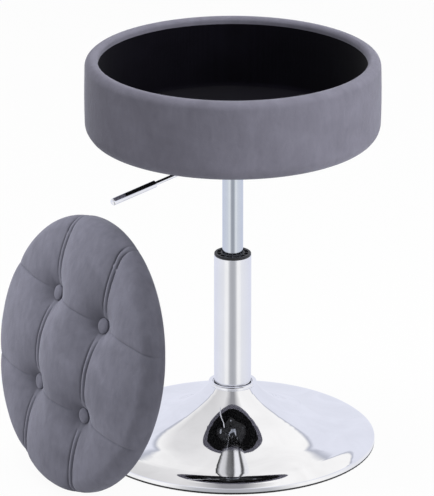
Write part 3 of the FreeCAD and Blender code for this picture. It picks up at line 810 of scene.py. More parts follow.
def make_piece(name: str, points: np.ndarray, faces: Sequence[Face], finish: Finish,
               sharp: float = 50.0) -> bpy.types.Object:
    """A closed smooth mesh with a finish.

    Args:
        name: the piece's name.
        points: places in millimetres.
        faces: corners of its faces.
        finish: what it is covered with.
        sharp: angle in degrees above which an edge stays sharp.

    Returns:
        The new object.
    """
    mesh = bpy.data.meshes.new(name)
    mesh.from_pydata((points * MM).tolist(), [], [list(face) for face in faces])
    work = bmesh.new()
    work.from_mesh(mesh)
    bmesh.ops.remove_doubles(work, verts=work.verts, dist=WELD_REACH)
    bmesh.ops.recalc_face_normals(work, faces=work.faces)
    work.to_mesh(mesh)
    work.free()
    mesh.shade_smooth()
    mesh.set_sharp_from_angle(angle=math.radians(sharp))
    mesh.materials.append(finish.material())
    piece = bpy.data.objects.new(name, mesh)
    bpy.context.scene.collection.objects.link(piece)
    return piece


def mesh_points(mesh: bpy.types.Mesh) -> np.ndarray:
    """A mesh's points.

    Args:
        mesh: the mesh.

    Returns:
        Places in millimetres, one row each.
    """
    flat = np.empty(len(mesh.vertices) * 3)
    mesh.vertices.foreach_get("co", flat)
    return flat.reshape(-1, 3) / MM


def place_piece(piece: bpy.types.Object, body: Body, slot: Slot, *nodes: str) -> None:
    """Tie a piece to its body and hide the nodes that it stands for.

    Args:
        piece: the piece.
        body: the body that it rides on.
        slot: not used.
        nodes: the nodes that it replaces.
    """
    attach(piece, body.value)
    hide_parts(*nodes)
    LOG.info("%s: %d points on %s", piece.name, len(piece.data.vertices), body.value)


class Span(NamedTuple):
    """Heights of a node and its distances from the Z axis, in millimetres."""

    low: float
    high: float
    inner: float
    outer: float

    @property
    def height(self) -> float:
        """Height from its lowest to its highest point."""
        return round(self.high - self.low, 1)

    @property
    def width(self) -> float:
        """Distance from its inner to its outer radius."""
        return round(self.outer - self.inner, 1)


def span(node: str) -> Span:
    """Measure a node of the frame, to a tenth of a millimetre.

    Args:
        node: the node's name.

    Returns:
        Its heights and distances from the axis.
    """
    spots = mesh_points(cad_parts[node].data)
    radii = reach(spots)
    measures = (spots[:, 2].min(), spots[:, 2].max(), radii.min(), radii.max())
    return Span(*(round(float(measure), 1) for measure in measures))


@dataclass(frozen=True)
class Filling:
    """A cloth run that fills a padded cover with air and keeps where it comes to rest."""

    pressure: float
    cap: float
    stiffness: float = 12.0
    bending: float = 0.4
    mass: float = 0.25
    quality: int = 4
    frames: int = 20
    easing: int = 8

    def add_cloth(self, piece: bpy.types.Object, group: bpy.types.VertexGroup) -> bpy.types.Modifier:
        """Make a cover behave as cloth with air in it.

        Args:
            piece: the cover's closed mesh.
            group: how firmly its points are held.

        Returns:
            The cloth modifier.
        """
        cloth = piece.modifiers.new("filling", "CLOTH")
        settings = cloth.settings
        settings.vertex_group_mass = group.name
        settings.quality = self.quality
        settings.mass = self.mass
        settings.tension_stiffness = self.stiffness
        settings.compression_stiffness = self.stiffness
        settings.shear_stiffness = self.stiffness / 3
        settings.bending_stiffness = self.bending
        settings.use_pressure = True
        settings.uniform_pressure_force = self.pressure
        settings.effector_weights.gravity = 0.0
        cloth.collision_settings.use_collision = False
        cloth.point_cache.frame_start = 1
        cloth.point_cache.frame_end = self.frames
        return cloth

    def swell(self, piece: bpy.types.Object, hold: np.ndarray) -> None:
        """Fill a cover and move its points to where the filled cloth lies.

        Args:
            piece: the cover's closed mesh.
            hold: how firmly each point is held, from 0 to 1.
        """
        group = piece.vertex_groups.new(name="held")
        steps = np.round(hold, 1)
        for weight in np.unique(steps):
            group.add(np.nonzero(steps == weight)[0].tolist(), float(weight), "REPLACE")
        cloth = self.add_cloth(piece, group)
        for step in range(1, self.frames + 1):
            bpy.context.scene.frame_set(step)
        filled = piece.evaluated_get(bpy.context.evaluated_depsgraph_get())
        rest = mesh_points(piece.data)
        move = mesh_points(filled.data) - rest
        piece.modifiers.remove(cloth)
        piece.vertex_groups.remove(group)
        bpy.context.scene.frame_set(1)
        self.settle(piece.data, rest, move)

    def settle(self, mesh: bpy.types.Mesh, rest: np.ndarray, move: np.ndarray) -> None:
        """Cap the moves, even them out between neighbours and carry the points along.

        Args:
            mesh: the cover's mesh.
            rest: its points before the run, in millimetres.
            move: how far each point moved.
        """
        ends = np.empty(len(mesh.edges) * 2, dtype=int)
        mesh.edges.foreach_get("vertices", ends)
        first, second = ends.reshape(-1, 2).T
        count = np.bincount(ends, minlength=len(rest))[:, None]
        length = np.maximum(np.linalg.norm(move, axis=1), 1e-9)[:, None]
        move = move * np.minimum(1.0, self.cap / length)
        for _ in range(self.easing):
            total = np.zeros_like(move)
            np.add.at(total, first, move[second])
            np.add.at(total, second, move[first])
            move = (move + total / count) / 2
        LOG.info("%s swelled by up to %.1f mm", mesh.name, float(np.linalg.norm(move, axis=1).max()))
        mesh.vertices.foreach_set("co", ((rest + move) * MM).ravel())
        mesh.update()


@dataclass
class StorageTray:
    """Padded velvet tray: a cushioned ring round the wall, a dark lining and a cloth underneath."""

    underside: float = span("tray_cover").low
    height: float = span("tray_cover").height
    hem_radius: float = span("tray_cover").inner
    wall_outer: float = span("tray_wall").outer + LAYER_GAP
    board_top: float = span("tray_base_board").high
    opening: float = span("tray_lining").inner
    lining: float = span("tray_lining").width
    cloth: float = span("bottom_cloth").height
    cloth_radius: float = span("bottom_cloth").outer
    radius: float = 196.0
    bulge: float = 1.3
    bulge_round: float = 700.0
    bottom_round: float = 22.0
    rim_outer_round: float = 11.0
    rim_inner_round: float = 5.4
    tuck: float = 9.0
    hem: float = 2.1
    board_edge: float = 3.0
    ring_segments: int = 288
    ring_step: float = 3.6
    cloth_segments: int = 192

    seam_angle: float = 74.0
    seam_rows: tuple[float, ...] = (1.1, 2.0, 3.2, 5.0, 7.5)
    seam_room: float = 9.5
    seam_line: Dip = Dip(1.3, 1.3)
    seam_valley: Dip = Dip(0.5, 9.0)
    hollows: tuple[Ripple, ...] = (Ripple(0.28, 55.0, 8.7), Ripple(0.12, 21.0, 1.9))
    pulls: Ripple = Ripple(0.3, 16.0, 3.1)
    pull_stretch: float = 0.35
    pull_reach: tuple[float, float] = (4.0, 30.0)
    draw_in: float = 0.25
    skin_margins: tuple[float, float] = (3.0, 4.0)
    filling: Filling = Filling(pressure=2.0, cap=0.7, stiffness=20.0)
    fill_reach: tuple[float, float] = (6.0, 26.0)
    fill_margins: tuple[float, float] = (2.0, 6.0)

    lining_step: float = 7.0
    lining_corner: float = 5.0
    lining_edge: float = 0.5
    lining_fold: float = 1.0
    lining_waves: Ripple = Ripple(0.3, 38.0, 5.3)
    cloth_step: float = 6.0
    cloth_edge: float = 0.35
    scallops: int = 32
    scallop_depth: float = 0.006

    def ring_section(self) -> list[Corner]:
        """Section of the padded ring.

        Returns:
            Corners of the outside from hem to tuck, then back along the wall and the board.
        """
        top = self.underside + self.height
        middle = self.underside + self.height / 2
        rebate = self.underside + self.hem
        return [
            (self.hem_radius, self.underside),
            (self.radius, self.underside, self.bottom_round),
            (self.radius + self.bulge, middle, self.bulge_round),
            (self.radius, top, self.rim_outer_round),
            (self.opening, top, self.rim_inner_round),
            (self.opening, top - self.tuck),
            (self.wall_outer, top - self.tuck),
            (self.wall_outer, self.board_top - self.board_edge),
            (self.radius - self.bottom_round, rebate),
            (self.hem_radius, rebate),
        ]

    def ring_angles(self) -> np.ndarray:
        """Angles round the ring, closer together at the seam that joins the cover's ends.

        Returns:
            The angles in order, in radians.
        """
        seam = math.radians(self.seam_angle)
        rows = np.array(self.seam_rows)
        near = seam + np.concatenate([-rows, [0.0], rows]) / self.radius
        even = even_angles(self.ring_segments)
        far = even[np.abs(even - seam) > self.seam_room / self.radius]
        return np.sort(np.concatenate([far, near]))

    def soften(self, points: np.ndarray) -> np.ndarray:
        """Pull the cover in along its seam and give it the small hollows of a hand-stretched wrap.

        Args:
            points: the ring's points, in millimetres.

        Returns:
            The softened points.
        """
        radii = reach(points)
        out = np.stack([points[:, 0] / radii, points[:, 1] / radii, np.zeros(len(points))], axis=1)
        inner, outer = self.skin_margins
        skin = smooth_step(self.wall_outer + inner, self.radius - outer, radii)
        turn = np.arctan2(points[:, 1], points[:, 0]) - math.radians(self.seam_angle)
        across = np.abs(np.arctan2(np.sin(turn), np.cos(turn))) * self.radius
        seam = self.seam_line.at(across) + self.seam_valley.at(across)
        low, high = self.pull_reach
        foot = 1.0 - smooth_step(self.underside + low, self.underside + high, points[:, 2])
        pulls = self.pulls.at(points * np.array([1.0, 1.0, self.pull_stretch])) * foot
        hollows = sum(hollow.at(points) for hollow in self.hollows) + pulls
        return points + out * (skin * (hollows - seam - self.draw_in))[:, None]

    def hold(self, points: np.ndarray) -> np.ndarray:
        """How firmly each point of the ring is held by the wall and the hem.

        Args:
            points: the ring's points, in millimetres.

        Returns:
            From 0, free to swell, to 1, held.
        """
        low, high = self.fill_reach
        inner, outer = self.fill_margins
        free = smooth_step(self.wall_outer + inner, self.radius - outer, reach(points))
        return 1.0 - free * smooth_step(self.underside + low, self.underside + high, points[:, 2])

    def build_ring(self) -> None:
        """Padded velvet ring with its hem, its rolled rim and the seam at the back."""
        line = section_line(self.ring_section(), self.ring_step)
        angles = self.ring_angles()
        points = self.soften(turned_points(line, angles))
        faces = ring_faces(len(line), len(angles), closed=True)
        piece = make_piece("tray_cushion", points, faces, TRAY_VELVET)
        self.filling.swell(piece, self.hold(mesh_points(piece.data)))
        place_piece(piece, Body.SEAT, Slot.VELVET, "tray_cover", "tray_foam")

    def build_lining(self) -> None:
        """Dark lining of the floor and the wall, with a soft corner where they meet."""
        top = self.underside + self.height - self.tuck
        outer = self.opening + self.lining
        floor = self.board_top + self.lining
        points, faces = turned_sheet([
            (0.0, floor),
            (self.opening, floor, self.lining_corner),
            (self.opening, top, self.lining_edge),
            (outer, top, self.lining_edge),
            (outer, self.board_top, self.lining_fold),
            (0.0, self.board_top),
        ], self.lining_step, self.cloth_segments)
        on_floor = np.abs(points[:, 2] - floor) < LEVEL_REACH
        points[:, 2] += on_floor * self.lining_waves.at(points)
        piece = make_piece("tray_lining_cloth", points, faces, NAVY_LINING)
        place_piece(piece, Body.SEAT, Slot.LINING, "tray_lining")

    def build_bottom_cloth(self) -> None:
        """Black cloth stretched under the tray, with its edge folded under and drawn in small scallops."""
        bottom = self.underside - self.cloth
        points, faces = turned_sheet([
            (0.0, bottom),
            (self.cloth_radius, bottom, self.cloth_edge),
            (self.cloth_radius, self.underside, self.cloth_edge),
            (0.0, self.underside),
        ], self.cloth_step, self.cloth_segments)
        edge = smooth_step(self.hem_radius, self.cloth_radius, reach(points))
        points = gathered(points, self.scallops, self.scallop_depth, edge)
        piece = make_piece("tray_bottom_cloth", points, faces, BLACK_CLOTH)
        place_piece(piece, Body.SEAT, Slot.DUST_CLOTH, "bottom_cloth")

    def build(self) -> None:
        """Build every soft piece of the tray."""
        self.build_ring()
        self.build_lining()
        self.build_bottom_cloth()


class EdgeRow(NamedTuple):
    """A row of the lid's section: its place, its outward normal and how much of the relief it keeps."""

    radius: float
    height: float
    outward: float
    upward: float
    keep: float


@dataclass
class TuftedLid:
    """Round velvet lid with four buttoned tufts, two double seams and soft creases across them."""

    radius: float = 183.5
    crown: float = 58.0
    crown_radius: float = 690.0
    top_round: float = 22.0
    back_round: float = 12.0
    board_radius: float = 171.6
    board_thickness: float = 12.05
    cover: float = 2.05
    hem_radius: float = 149.5
    locator_radius: float = 165.0
    locator: float = 5.0
    cloth: float = 0.8
    azimuth: float = 213.0
    lean: float = 11.0
    distance: float = 230.0
    sideways: float = 13.0

    seam_spacing: float = 120.0
    crease_spacing: float = 131.0
    turn: float = -5.0
    tuft_depth: float = 23.5
    tuft_lip: float = 2.0
    tuft_lip_width: float = 1.0
    tuft_flare: float = 15.5
    tuft_bend: float = 0.88
    pleat: Dip = Dip(0.42, 7.5)
    pleat_radius: float = 16.5
    pleat_counts: tuple[int, int] = (7, 11)
    pleat_turns: tuple[float, float] = (1.7, -0.9)
    pleat_shares: tuple[float, float] = (1.0, 0.6)
    welt: float = 4.25
    welt_rise: float = 1.15
    stitch: Dip = Dip(1.25, 0.95)
    seam_least: float = 3.6
    seam_more: Dip = Dip(5.2, 46.0)
    seam_slack: float = 0.16
    seam_skirt: float = 18.0
    seam_end: Dip = Dip(1.7, 8.0)
    seam_end_reach: tuple[float, float] = (150.0, 180.0)
    crease_least: float = 2.7
    crease_more: Dip = Dip(5.3, 36.0)
    crease_skirt: float = 14.0
    crease_line: Dip = Dip(0.8, 1.0)
    waves: tuple[Ripple, ...] = (Ripple(0.35, 34.0, 4.4), Ripple(0.16, 13.0, 9.2))
    edge_keep: float = 0.18
    line_keep: float = 1.6

    field_radius: float = 160.0
    field_margin: float = 1.6
    field_step: float = 3.1
    line_room: float = 1.7
    edge_step: float = 2.6
    seam_marks: tuple[float, ...] = (1.3, 2.5, 3.4, 4.25, 5.1, 6.0, 7.4, 9.6)
    crease_marks: tuple[float, ...] = (0.8, 1.8, 3.4, 5.6)
    tuft_rings: tuple[float, ...] = (4.5, 8.4, 9.6, 10.3, 10.9, 11.6, 12.5, 13.7, 15.3, 17.3, 19.6)
    tuft_points: int = 44
    tuft_room: float = 21.0
    wide_gap: float = 20.0
    wide_parts: int = 26
    shoulder_steps: int = 12
    back_steps: int = 8
    hem_steps: int = 5
    pocket_shares: tuple[float, ...] = (0.8, 0.6, 0.4, 0.2, 0.0)

    filling: Filling = Filling(pressure=45.0, cap=4.0)
    seam_grip: Grip = Grip(1.0, 5.6, 9.0)
    crease_grip: Grip = Grip(0.85, 1.0, 5.0)
    button_grip: Grip = Grip(1.0, 14.0, 24.0)
    edge_reach: tuple[float, float] = (150.0, 174.0)
    board_hold: float = 2.0

    button_radius: float = 10.5
    button_height: float = 5.6
    button_lift: float = 0.4
    button_foot: float = 0.9
    button_foot_round: float = 0.5
    button_side_foot: float = 1.6
    button_side_foot_round: float = 1.2
    button_shoulder: float = 2.3
    button_shoulder_round: float = 2.2
    button_dome_share: float = 0.55
    button_dome_drop: float = 0.35
    button_dome_round: float = 14.0
    button_rim: float = 2.5
    button_step: float = 1.2
    button_segments: int = 48
    button_edge: Dip = Dip(1.0, 1.4)
    button_edge_height: float = 1.5
    button_gathers: int = 24
    gather_depth: float = 0.02
    cloth_round: float = 1.2
    cloth_step: float = 5.0
    cloth_wall: float = 0.2
    cloth_segments: int = 192
    cloth_gathers: int = 48
    cloth_gather_depth: float = 0.0016

    def placement(self) -> Matrix:
        """Where the lid stands: on its edge, leaning back towards the stool.

        Returns:
            The lid's own frame, in metres.
        """
        a, lean = math.radians(self.azimuth), math.radians(self.lean)
        out = Vector((math.cos(a), math.sin(a), 0.0))
        across = Vector((-math.sin(a), math.cos(a), 0.0))
        up = Vector((0.0, 0.0, 1.0))
        normal = out * math.cos(lean) + up * math.sin(lean)
        top = up * math.cos(lean) - out * math.sin(lean)
        rise = (self.radius - self.back_round) * math.cos(lean) + self.back_round * (1 - math.sin(lean))
        origin = (out * self.distance + across * self.sideways + up * rise) * MM
        side = top.cross(normal)
        return Matrix([(side[i], top[i], normal[i], origin[i]) for i in range(3)] + [(0.0, 0.0, 0.0, 1.0)])

    def seams(self) -> tuple[float, float]:
        """Places of the two double seams across the lid."""
        return -self.seam_spacing / 2, self.seam_spacing / 2

    def creases(self) -> tuple[float, float]:
        """Places of the two creases along the lid."""
        return -self.crease_spacing / 2, self.crease_spacing / 2

    def buttons(self) -> list[tuple[float, float]]:
        """Places of the four buttons, where the seams and the creases cross."""
        return [(p, q) for p in self.seams() for q in self.creases()]

    def crown_height(self, radii: np.ndarray) -> np.ndarray:
        """Height of the crown without its tufts."""
        return self.crown - self.crown_radius + np.sqrt(self.crown_radius ** 2 - radii ** 2)

    def edge_rows(self) -> list[EdgeRow]:
        """Rows of the section from the field over the edge to the middle of the board's pocket.

        Returns:
            The rows in order.
        """
        rows = []
        for radius in (self.field_radius, self.field_radius + self.edge_step):
            lean = math.asin(radius / self.crown_radius)
            height = float(self.crown_height(np.array(radius)))
            rows.append(EdgeRow(radius, height, math.sin(lean), math.cos(lean), 1.0))
        inner, dome = self.radius - self.top_round, self.crown_radius - self.top_round
        shoulder = self.crown - self.crown_radius + math.sqrt(dome ** 2 - inner ** 2)
        start = math.acos(inner / dome)
        for step in range(self.shoulder_steps + 1):
            angle = start * (1 - step / self.shoulder_steps)
            c, s = math.cos(angle), math.sin(angle)
            keep = self.edge_keep + (1 - self.edge_keep) * s / math.sin(start)
            rows.append(EdgeRow(inner + self.top_round * c, shoulder + self.top_round * s, c, s, keep))
        back = self.radius - self.back_round
        for step in range(self.back_steps + 1):
            angle = -math.pi / 2 * step / self.back_steps
            c, s = math.cos(angle), math.sin(angle)
            keep = self.edge_keep * (1 - step / self.back_steps)
            rows.append(EdgeRow(back + self.back_round * c, self.back_round * (1 + s), c, s, keep))
        for step in range(1, self.hem_steps + 1):
            rows.append(EdgeRow(back + (self.hem_radius - back) * step / self.hem_steps, 0.0, 0.0, -1.0, 0.0))
        rows.append(EdgeRow(self.hem_radius, self.cover, 0.0, 1.0, 0.0))
        rows.append(EdgeRow(self.board_radius, self.cover, 0.0, 1.0, 0.0))
        rows.append(EdgeRow(self.board_radius, self.board_thickness, 0.0, 1.0, 0.0))
        for share in self.pocket_shares:
            rows.append(EdgeRow(self.board_radius * share, self.board_thickness, 0.0, -1.0, 0.0))
        return rows

    def seam_offsets(self) -> np.ndarray:
        """Distances from the middle of a double seam at which the cover has a line of points."""
        return np.concatenate([-np.array(self.seam_marks)[::-1], [0.0], self.seam_marks])

    def crease_offsets(self) -> np.ndarray:
        """Distances from the middle of a crease at which the cover has a line of points."""
        return np.concatenate([-np.array(self.crease_marks)[::-1], [0.0], self.crease_marks])

    def row_angles(self, radius: float) -> np.ndarray:
        """Angles of a row's points, which keep to the seams and creases as they run over the edge.

        Args:
            radius: the row's radius within the pattern, in millimetres.

        Returns:
            Angles in the pattern's own frame, in radians.
        """
        marks = []
        for across, along in zip(self.seams(), self.creases()):
            seam = np.arccos((across + self.seam_offsets()) / radius)
            crease = np.arcsin((along + self.crease_offsets()) / radius)
            marks += [seam, -seam, crease, math.pi - crease]
        marks = np.sort(np.mod(np.concatenate(marks), 2 * math.pi))
        filled = []
        for here, after in zip(marks, np.append(marks[1:], marks[0] + 2 * math.pi)):
            parts = self.wide_parts if after - here > math.radians(self.wide_gap) else 1
            filled += [here + (after - here) * k / parts for k in range(parts)]
        return np.array(filled)

    def field_spots(self) -> np.ndarray:
        """Points of the crown inside the edge rows.

        Returns:
            Lines along the seams and creases, a grid between them and rings round the buttons.
        """
        limit = self.field_radius - self.field_margin
        fill = np.arange(-limit, limit, self.field_step)
        marks = []
        for sides, offsets in ((self.seams(), self.seam_offsets()), (self.creases(), self.crease_offsets())):
            lines = np.concatenate([side + offsets for side in sides])
            clear = np.abs(fill[:, None] - lines[None, :]).min(axis=1) > self.line_room
            marks.append(np.sort(np.concatenate([fill[clear], lines])))
        grid = np.array([(p, q) for p in marks[0] for q in marks[1]])
        grid = grid[reach(grid) < limit]
        spots = []
        for centre in np.array(self.buttons()):
            grid = grid[reach(grid - centre) > self.tuft_room]
            for order, size in enumerate(self.tuft_rings):
                angles = even_angles(self.tuft_points) + (order % 2) * math.pi / self.tuft_points
                spots.append(centre + size * np.stack([np.cos(angles), np.sin(angles)], axis=1))
            spots.append(centre[None, :])
        return np.concatenate([grid] + spots)

    def tuft(self, distance: np.ndarray) -> np.ndarray:
        """Depth of a tuft.

        Args:
            distance: how far from its button's middle, in millimetres.

        Returns:
            The depth, in millimetres.
        """
        edge = self.button_radius - LAYER_GAP
        pit = self.tuft_depth - self.tuft_lip * smooth_step(edge - self.tuft_lip_width, edge, distance)
        return pit * np.exp(-(np.maximum(distance - edge, 0.0) / self.tuft_flare) ** self.tuft_bend)

    def tufted(self, p: np.ndarray, q: np.ndarray) -> tuple[np.ndarray, np.ndarray]:
        """Tufts and the small pleats that fan out from their buttons.

        Args:
            p: places across the double seams, in millimetres.
            q: places along them.

        Returns:
            Depth of the tufts and of the pleats.
        """
        tufts, pleats = np.zeros_like(p), np.zeros_like(p)
        for order, (bp, bq) in enumerate(self.buttons()):
            distance = np.hypot(p - bp, q - bq)
            angle = np.arctan2(q - bq, p - bp)
            tufts = np.maximum(tufts, self.tuft(distance))
            for count, turn, share in zip(self.pleat_counts, self.pleat_turns, self.pleat_shares):
                fold = share * np.cos(count * angle + turn * order)
                pleats += fold * self.pleat.at(distance - self.pleat_radius)
        return tufts, pleats

    def seamed(self, p: np.ndarray, q: np.ndarray, seam: float) -> tuple[np.ndarray, np.ndarray]:
        """Valley of a double seam, with its welt and its two rows of stitches.

        Args:
            p: places across the double seams, in millimetres.
            q: places along them.
            seam: the seam's place.

        Returns:
            Depth of the valley and of the lines in it.
        """
        across = np.abs(p - seam)
        beyond = np.maximum(np.abs(q) - self.crease_spacing / 2, 0.0)
        between = np.minimum(2 * np.abs(q) / self.crease_spacing, 1.0)
        slack = 1.0 - self.seam_slack + self.seam_slack * between ** 2
        depth = (self.seam_least + self.seam_more.at(beyond)) * slack
        valley = depth * np.exp(-np.maximum(across - self.welt, 0.0) / self.seam_skirt)
        raised = np.cos(np.minimum(across / self.welt, 1.0) * math.pi / 2) ** 2
        lines = self.stitch.at(across - self.welt) - self.welt_rise * raised
        lines += self.seam_end.at(across) * smooth_step(*self.seam_end_reach, np.hypot(p, q))
        return valley, lines

    def creased(self, p: np.ndarray, q: np.ndarray, crease: float) -> tuple[np.ndarray, np.ndarray]:
        """Valley of a crease, deeper near the buttons, with its fine line.

        Args:
            p: places across the double seams, in millimetres.
            q: places along them.
            crease: the crease's place.

        Returns:
            Depth of the valley and of the line in it.
        """
        along = np.abs(q - crease)
        apart = np.abs(np.abs(p) - self.seam_spacing / 2)
        depth = self.crease_least + self.crease_more.at(apart)
        return depth * np.exp(-along / self.crease_skirt), self.crease_line.at(along)

    def relief(self, p: np.ndarray, q: np.ndarray, keep: np.ndarray) -> np.ndarray:
        """How deep the cover lies below its crown.

        Args:
            p: places across the double seams, in millimetres.
            q: places along them.
            keep: how much of the relief shows, from 0 at the back to 1 on the crown.

        Returns:
            The depth, in millimetres.
        """
        tufts, pleats = self.tufted(p, q)
        grooves = [self.seamed(p, q, seam) for seam in self.seams()]
        grooves += [self.creased(p, q, crease) for crease in self.creases()]
        valleys, lines = (sum(depths) for depths in zip(*grooves))
        free = 1.0 - tufts / self.tuft_depth
        flat = np.stack([p, q, np.zeros_like(p)], axis=1)
        waves = sum(wave.at(flat) for wave in self.waves)
        line_keep = np.minimum(1.0, self.line_keep * keep)
        return keep * (tufts + free * (valleys + pleats + waves)) + line_keep * free * lines

    def cover_mesh(self) -> tuple[np.ndarray, list[Face]]:
        """Points and faces of the whole padded cover.

        Returns:
            Points in millimetres, with the back on the XY plane, and the faces' corners.
        """
        first = self.row_angles(self.field_radius)
        ring = np.stack([np.cos(first), np.sin(first)], axis=1) * self.field_radius
        flat = np.concatenate([self.field_spots(), ring])
        spots, _, faces, origins, _, _ = geometry.delaunay_2d_cdt([Vector(s) for s in flat], [], [], 0, 1e-5)
        field = np.array([(spot.x, spot.y) for spot in spots])
        index_of = {origin: i for i, group in enumerate(origins) for origin in group}
        before = [index_of[len(flat) - len(ring) + j] for j in range(len(ring))]
        p, q = field.T
        radii = reach(field)
        normals = np.stack([p, q, np.sqrt(self.crown_radius ** 2 - radii ** 2)], axis=1) / self.crown_radius
        depth = self.relief(p, q, np.ones(len(field)))
        points = [np.stack([p, q, self.crown_height(radii)], axis=1) - normals * depth[:, None]]
        faces, start = [tuple(face) for face in faces], len(field)
        for row in self.edge_rows()[1:]:
            pattern_radius = min(max(row.radius, self.field_radius), self.radius)
            angles = self.row_angles(pattern_radius)
            c, s = np.cos(angles), np.sin(angles)
            depth = self.relief(pattern_radius * c, pattern_radius * s, np.full(len(angles), row.keep))
            shrunk = row.radius - row.outward * depth
            points.append(np.stack([shrunk * c, shrunk * s, row.height - row.upward * depth], axis=1))
            here = list(range(start, start + len(angles)))
            for j in range(len(angles)):
                k = (j + 1) % len(angles)
                faces.append((before[j], before[k], here[k], here[j]))
            before, start = here, start + len(angles)
        return turned(np.concatenate(points), math.radians(self.turn)), faces

    def hold(self, points: np.ndarray) -> np.ndarray:
        """How firmly each point of the cover is held by buttons, seams, creases and the board.

        Args:
            points: the cover's points, in millimetres.

        Returns:
            From 0, free to swell, to 1, held.
        """
        p, q, height = turned(points, -math.radians(self.turn)).T
        held = [smooth_step(*self.edge_reach, np.hypot(p, q))]
        held.append(height < self.board_thickness + self.board_hold)
        held += [self.seam_grip.at(np.abs(p - seam)) for seam in self.seams()]
        held += [self.crease_grip.at(np.abs(q - crease)) for crease in self.creases()]
        held += [self.button_grip.at(np.hypot(p - bp, q - bq)) for bp, bq in self.buttons()]
        return np.max(np.array(held, dtype=float), axis=0)

    def build_cushion(self) -> bpy.types.Object:
        """Tufted velvet cushion, filled between its seams, with a pocket for the board.

        Returns:
            The cushion.
        """
        points, faces = self.cover_mesh()
        piece = make_piece("lid_cushion", points, faces, LID_VELVET, sharp=75.0)
        self.filling.swell(piece, self.hold(mesh_points(piece.data)))
        piece.data.transform(self.placement())
        place_piece(piece, Body.LID, Slot.VELVET, "lid_cover", "lid_foam")
        return piece

    def button_section(self) -> list[Corner]:
        """Section of a covered button.

        Returns:
            Corners of a flat back, a rounded edge and a low dome.
        """
        radius, height = self.button_radius, self.button_height
        return [
            (0.0, 0.0),
            (radius - self.button_foot, 0.0, self.button_foot_round),
            (radius, self.button_side_foot, self.button_side_foot_round),
            (radius, height - self.button_shoulder, self.button_shoulder_round),
            (radius * self.button_dome_share, height - self.button_dome_drop, self.button_dome_round),
            (0.0, height),
        ]

    def build_buttons(self) -> bpy.types.Object:
        """Four buttons covered in the lid's velvet, their cloth gathered at the edge.

        Returns:
            The buttons, as one piece.
        """
        button, sides = turned_sheet(self.button_section(), self.button_step, self.button_segments)
        outside = reach(button) > self.button_radius - self.button_rim
        edge = self.button_edge.at(button[:, 2] - self.button_edge_height) * outside
        button = gathered(button, self.button_gathers, self.gather_depth, edge)
        points, faces = [], []
        for order, (p, q) in enumerate(self.buttons()):
            out = Vector((p, q, math.sqrt(self.crown_radius ** 2 - p * p - q * q)))
            spin = np.array(out.to_track_quat("Z", "Y").to_matrix())
            foot = np.array(out) * (1.0 - (self.tuft_depth - self.button_lift) / self.crown_radius)
            foot[2] += self.crown - self.crown_radius
            points.append(button @ spin.T + foot)
            faces += [tuple(order * len(button) + corner for corner in side) for side in sides]
        places = turned(np.concatenate(points), math.radians(self.turn))
        # The buttons take a darker copy of the lid's velvet: painted shade of the pits they sit in.
        piece = make_piece("lid_covered_buttons", places, faces, SHADED_BUTTON_VELVET)
        piece.data.transform(self.placement())
        place_piece(piece, Body.LID, Slot.VELVET, "lid_buttons")
        return piece

    def build_underside(self) -> bpy.types.Object:
        """Black cloth pulled over the back and the edge of the locating disc.

        Returns:
            The cloth.
        """
        inner = self.locator_radius + LAYER_GAP
        outer = inner + self.cloth
        back = -self.locator - self.cloth
        points, faces = turned_sheet([
            (0.0, back),
            (outer, back, self.cloth_round),
            (outer, 0.0),
            (inner, 0.0),
            (inner, -self.locator),
            (0.0, -self.locator),
        ], self.cloth_step, self.cloth_segments)
        wall = np.abs(reach(points) - outer) < self.cloth_wall
        points = gathered(points, self.cloth_gathers, self.cloth_gather_depth, wall)
        piece = make_piece("lid_underside_cloth_cover", points, faces, LID_CLOTH)
        piece.data.transform(self.placement())
        place_piece(piece, Body.LID, Slot.DUST_CLOTH, "lid_underside_cloth")
        return piece

    def build(self) -> list[bpy.types.Object]:
        """Build every soft piece of the lid, and keep them all out of the metal's mirror.

        Returns:
            The pieces.
        """
        pieces = [self.build_cushion(), self.build_buttons(), self.build_underside()]
        for piece in pieces:
            piece.visible_glossy = False
        return pieces


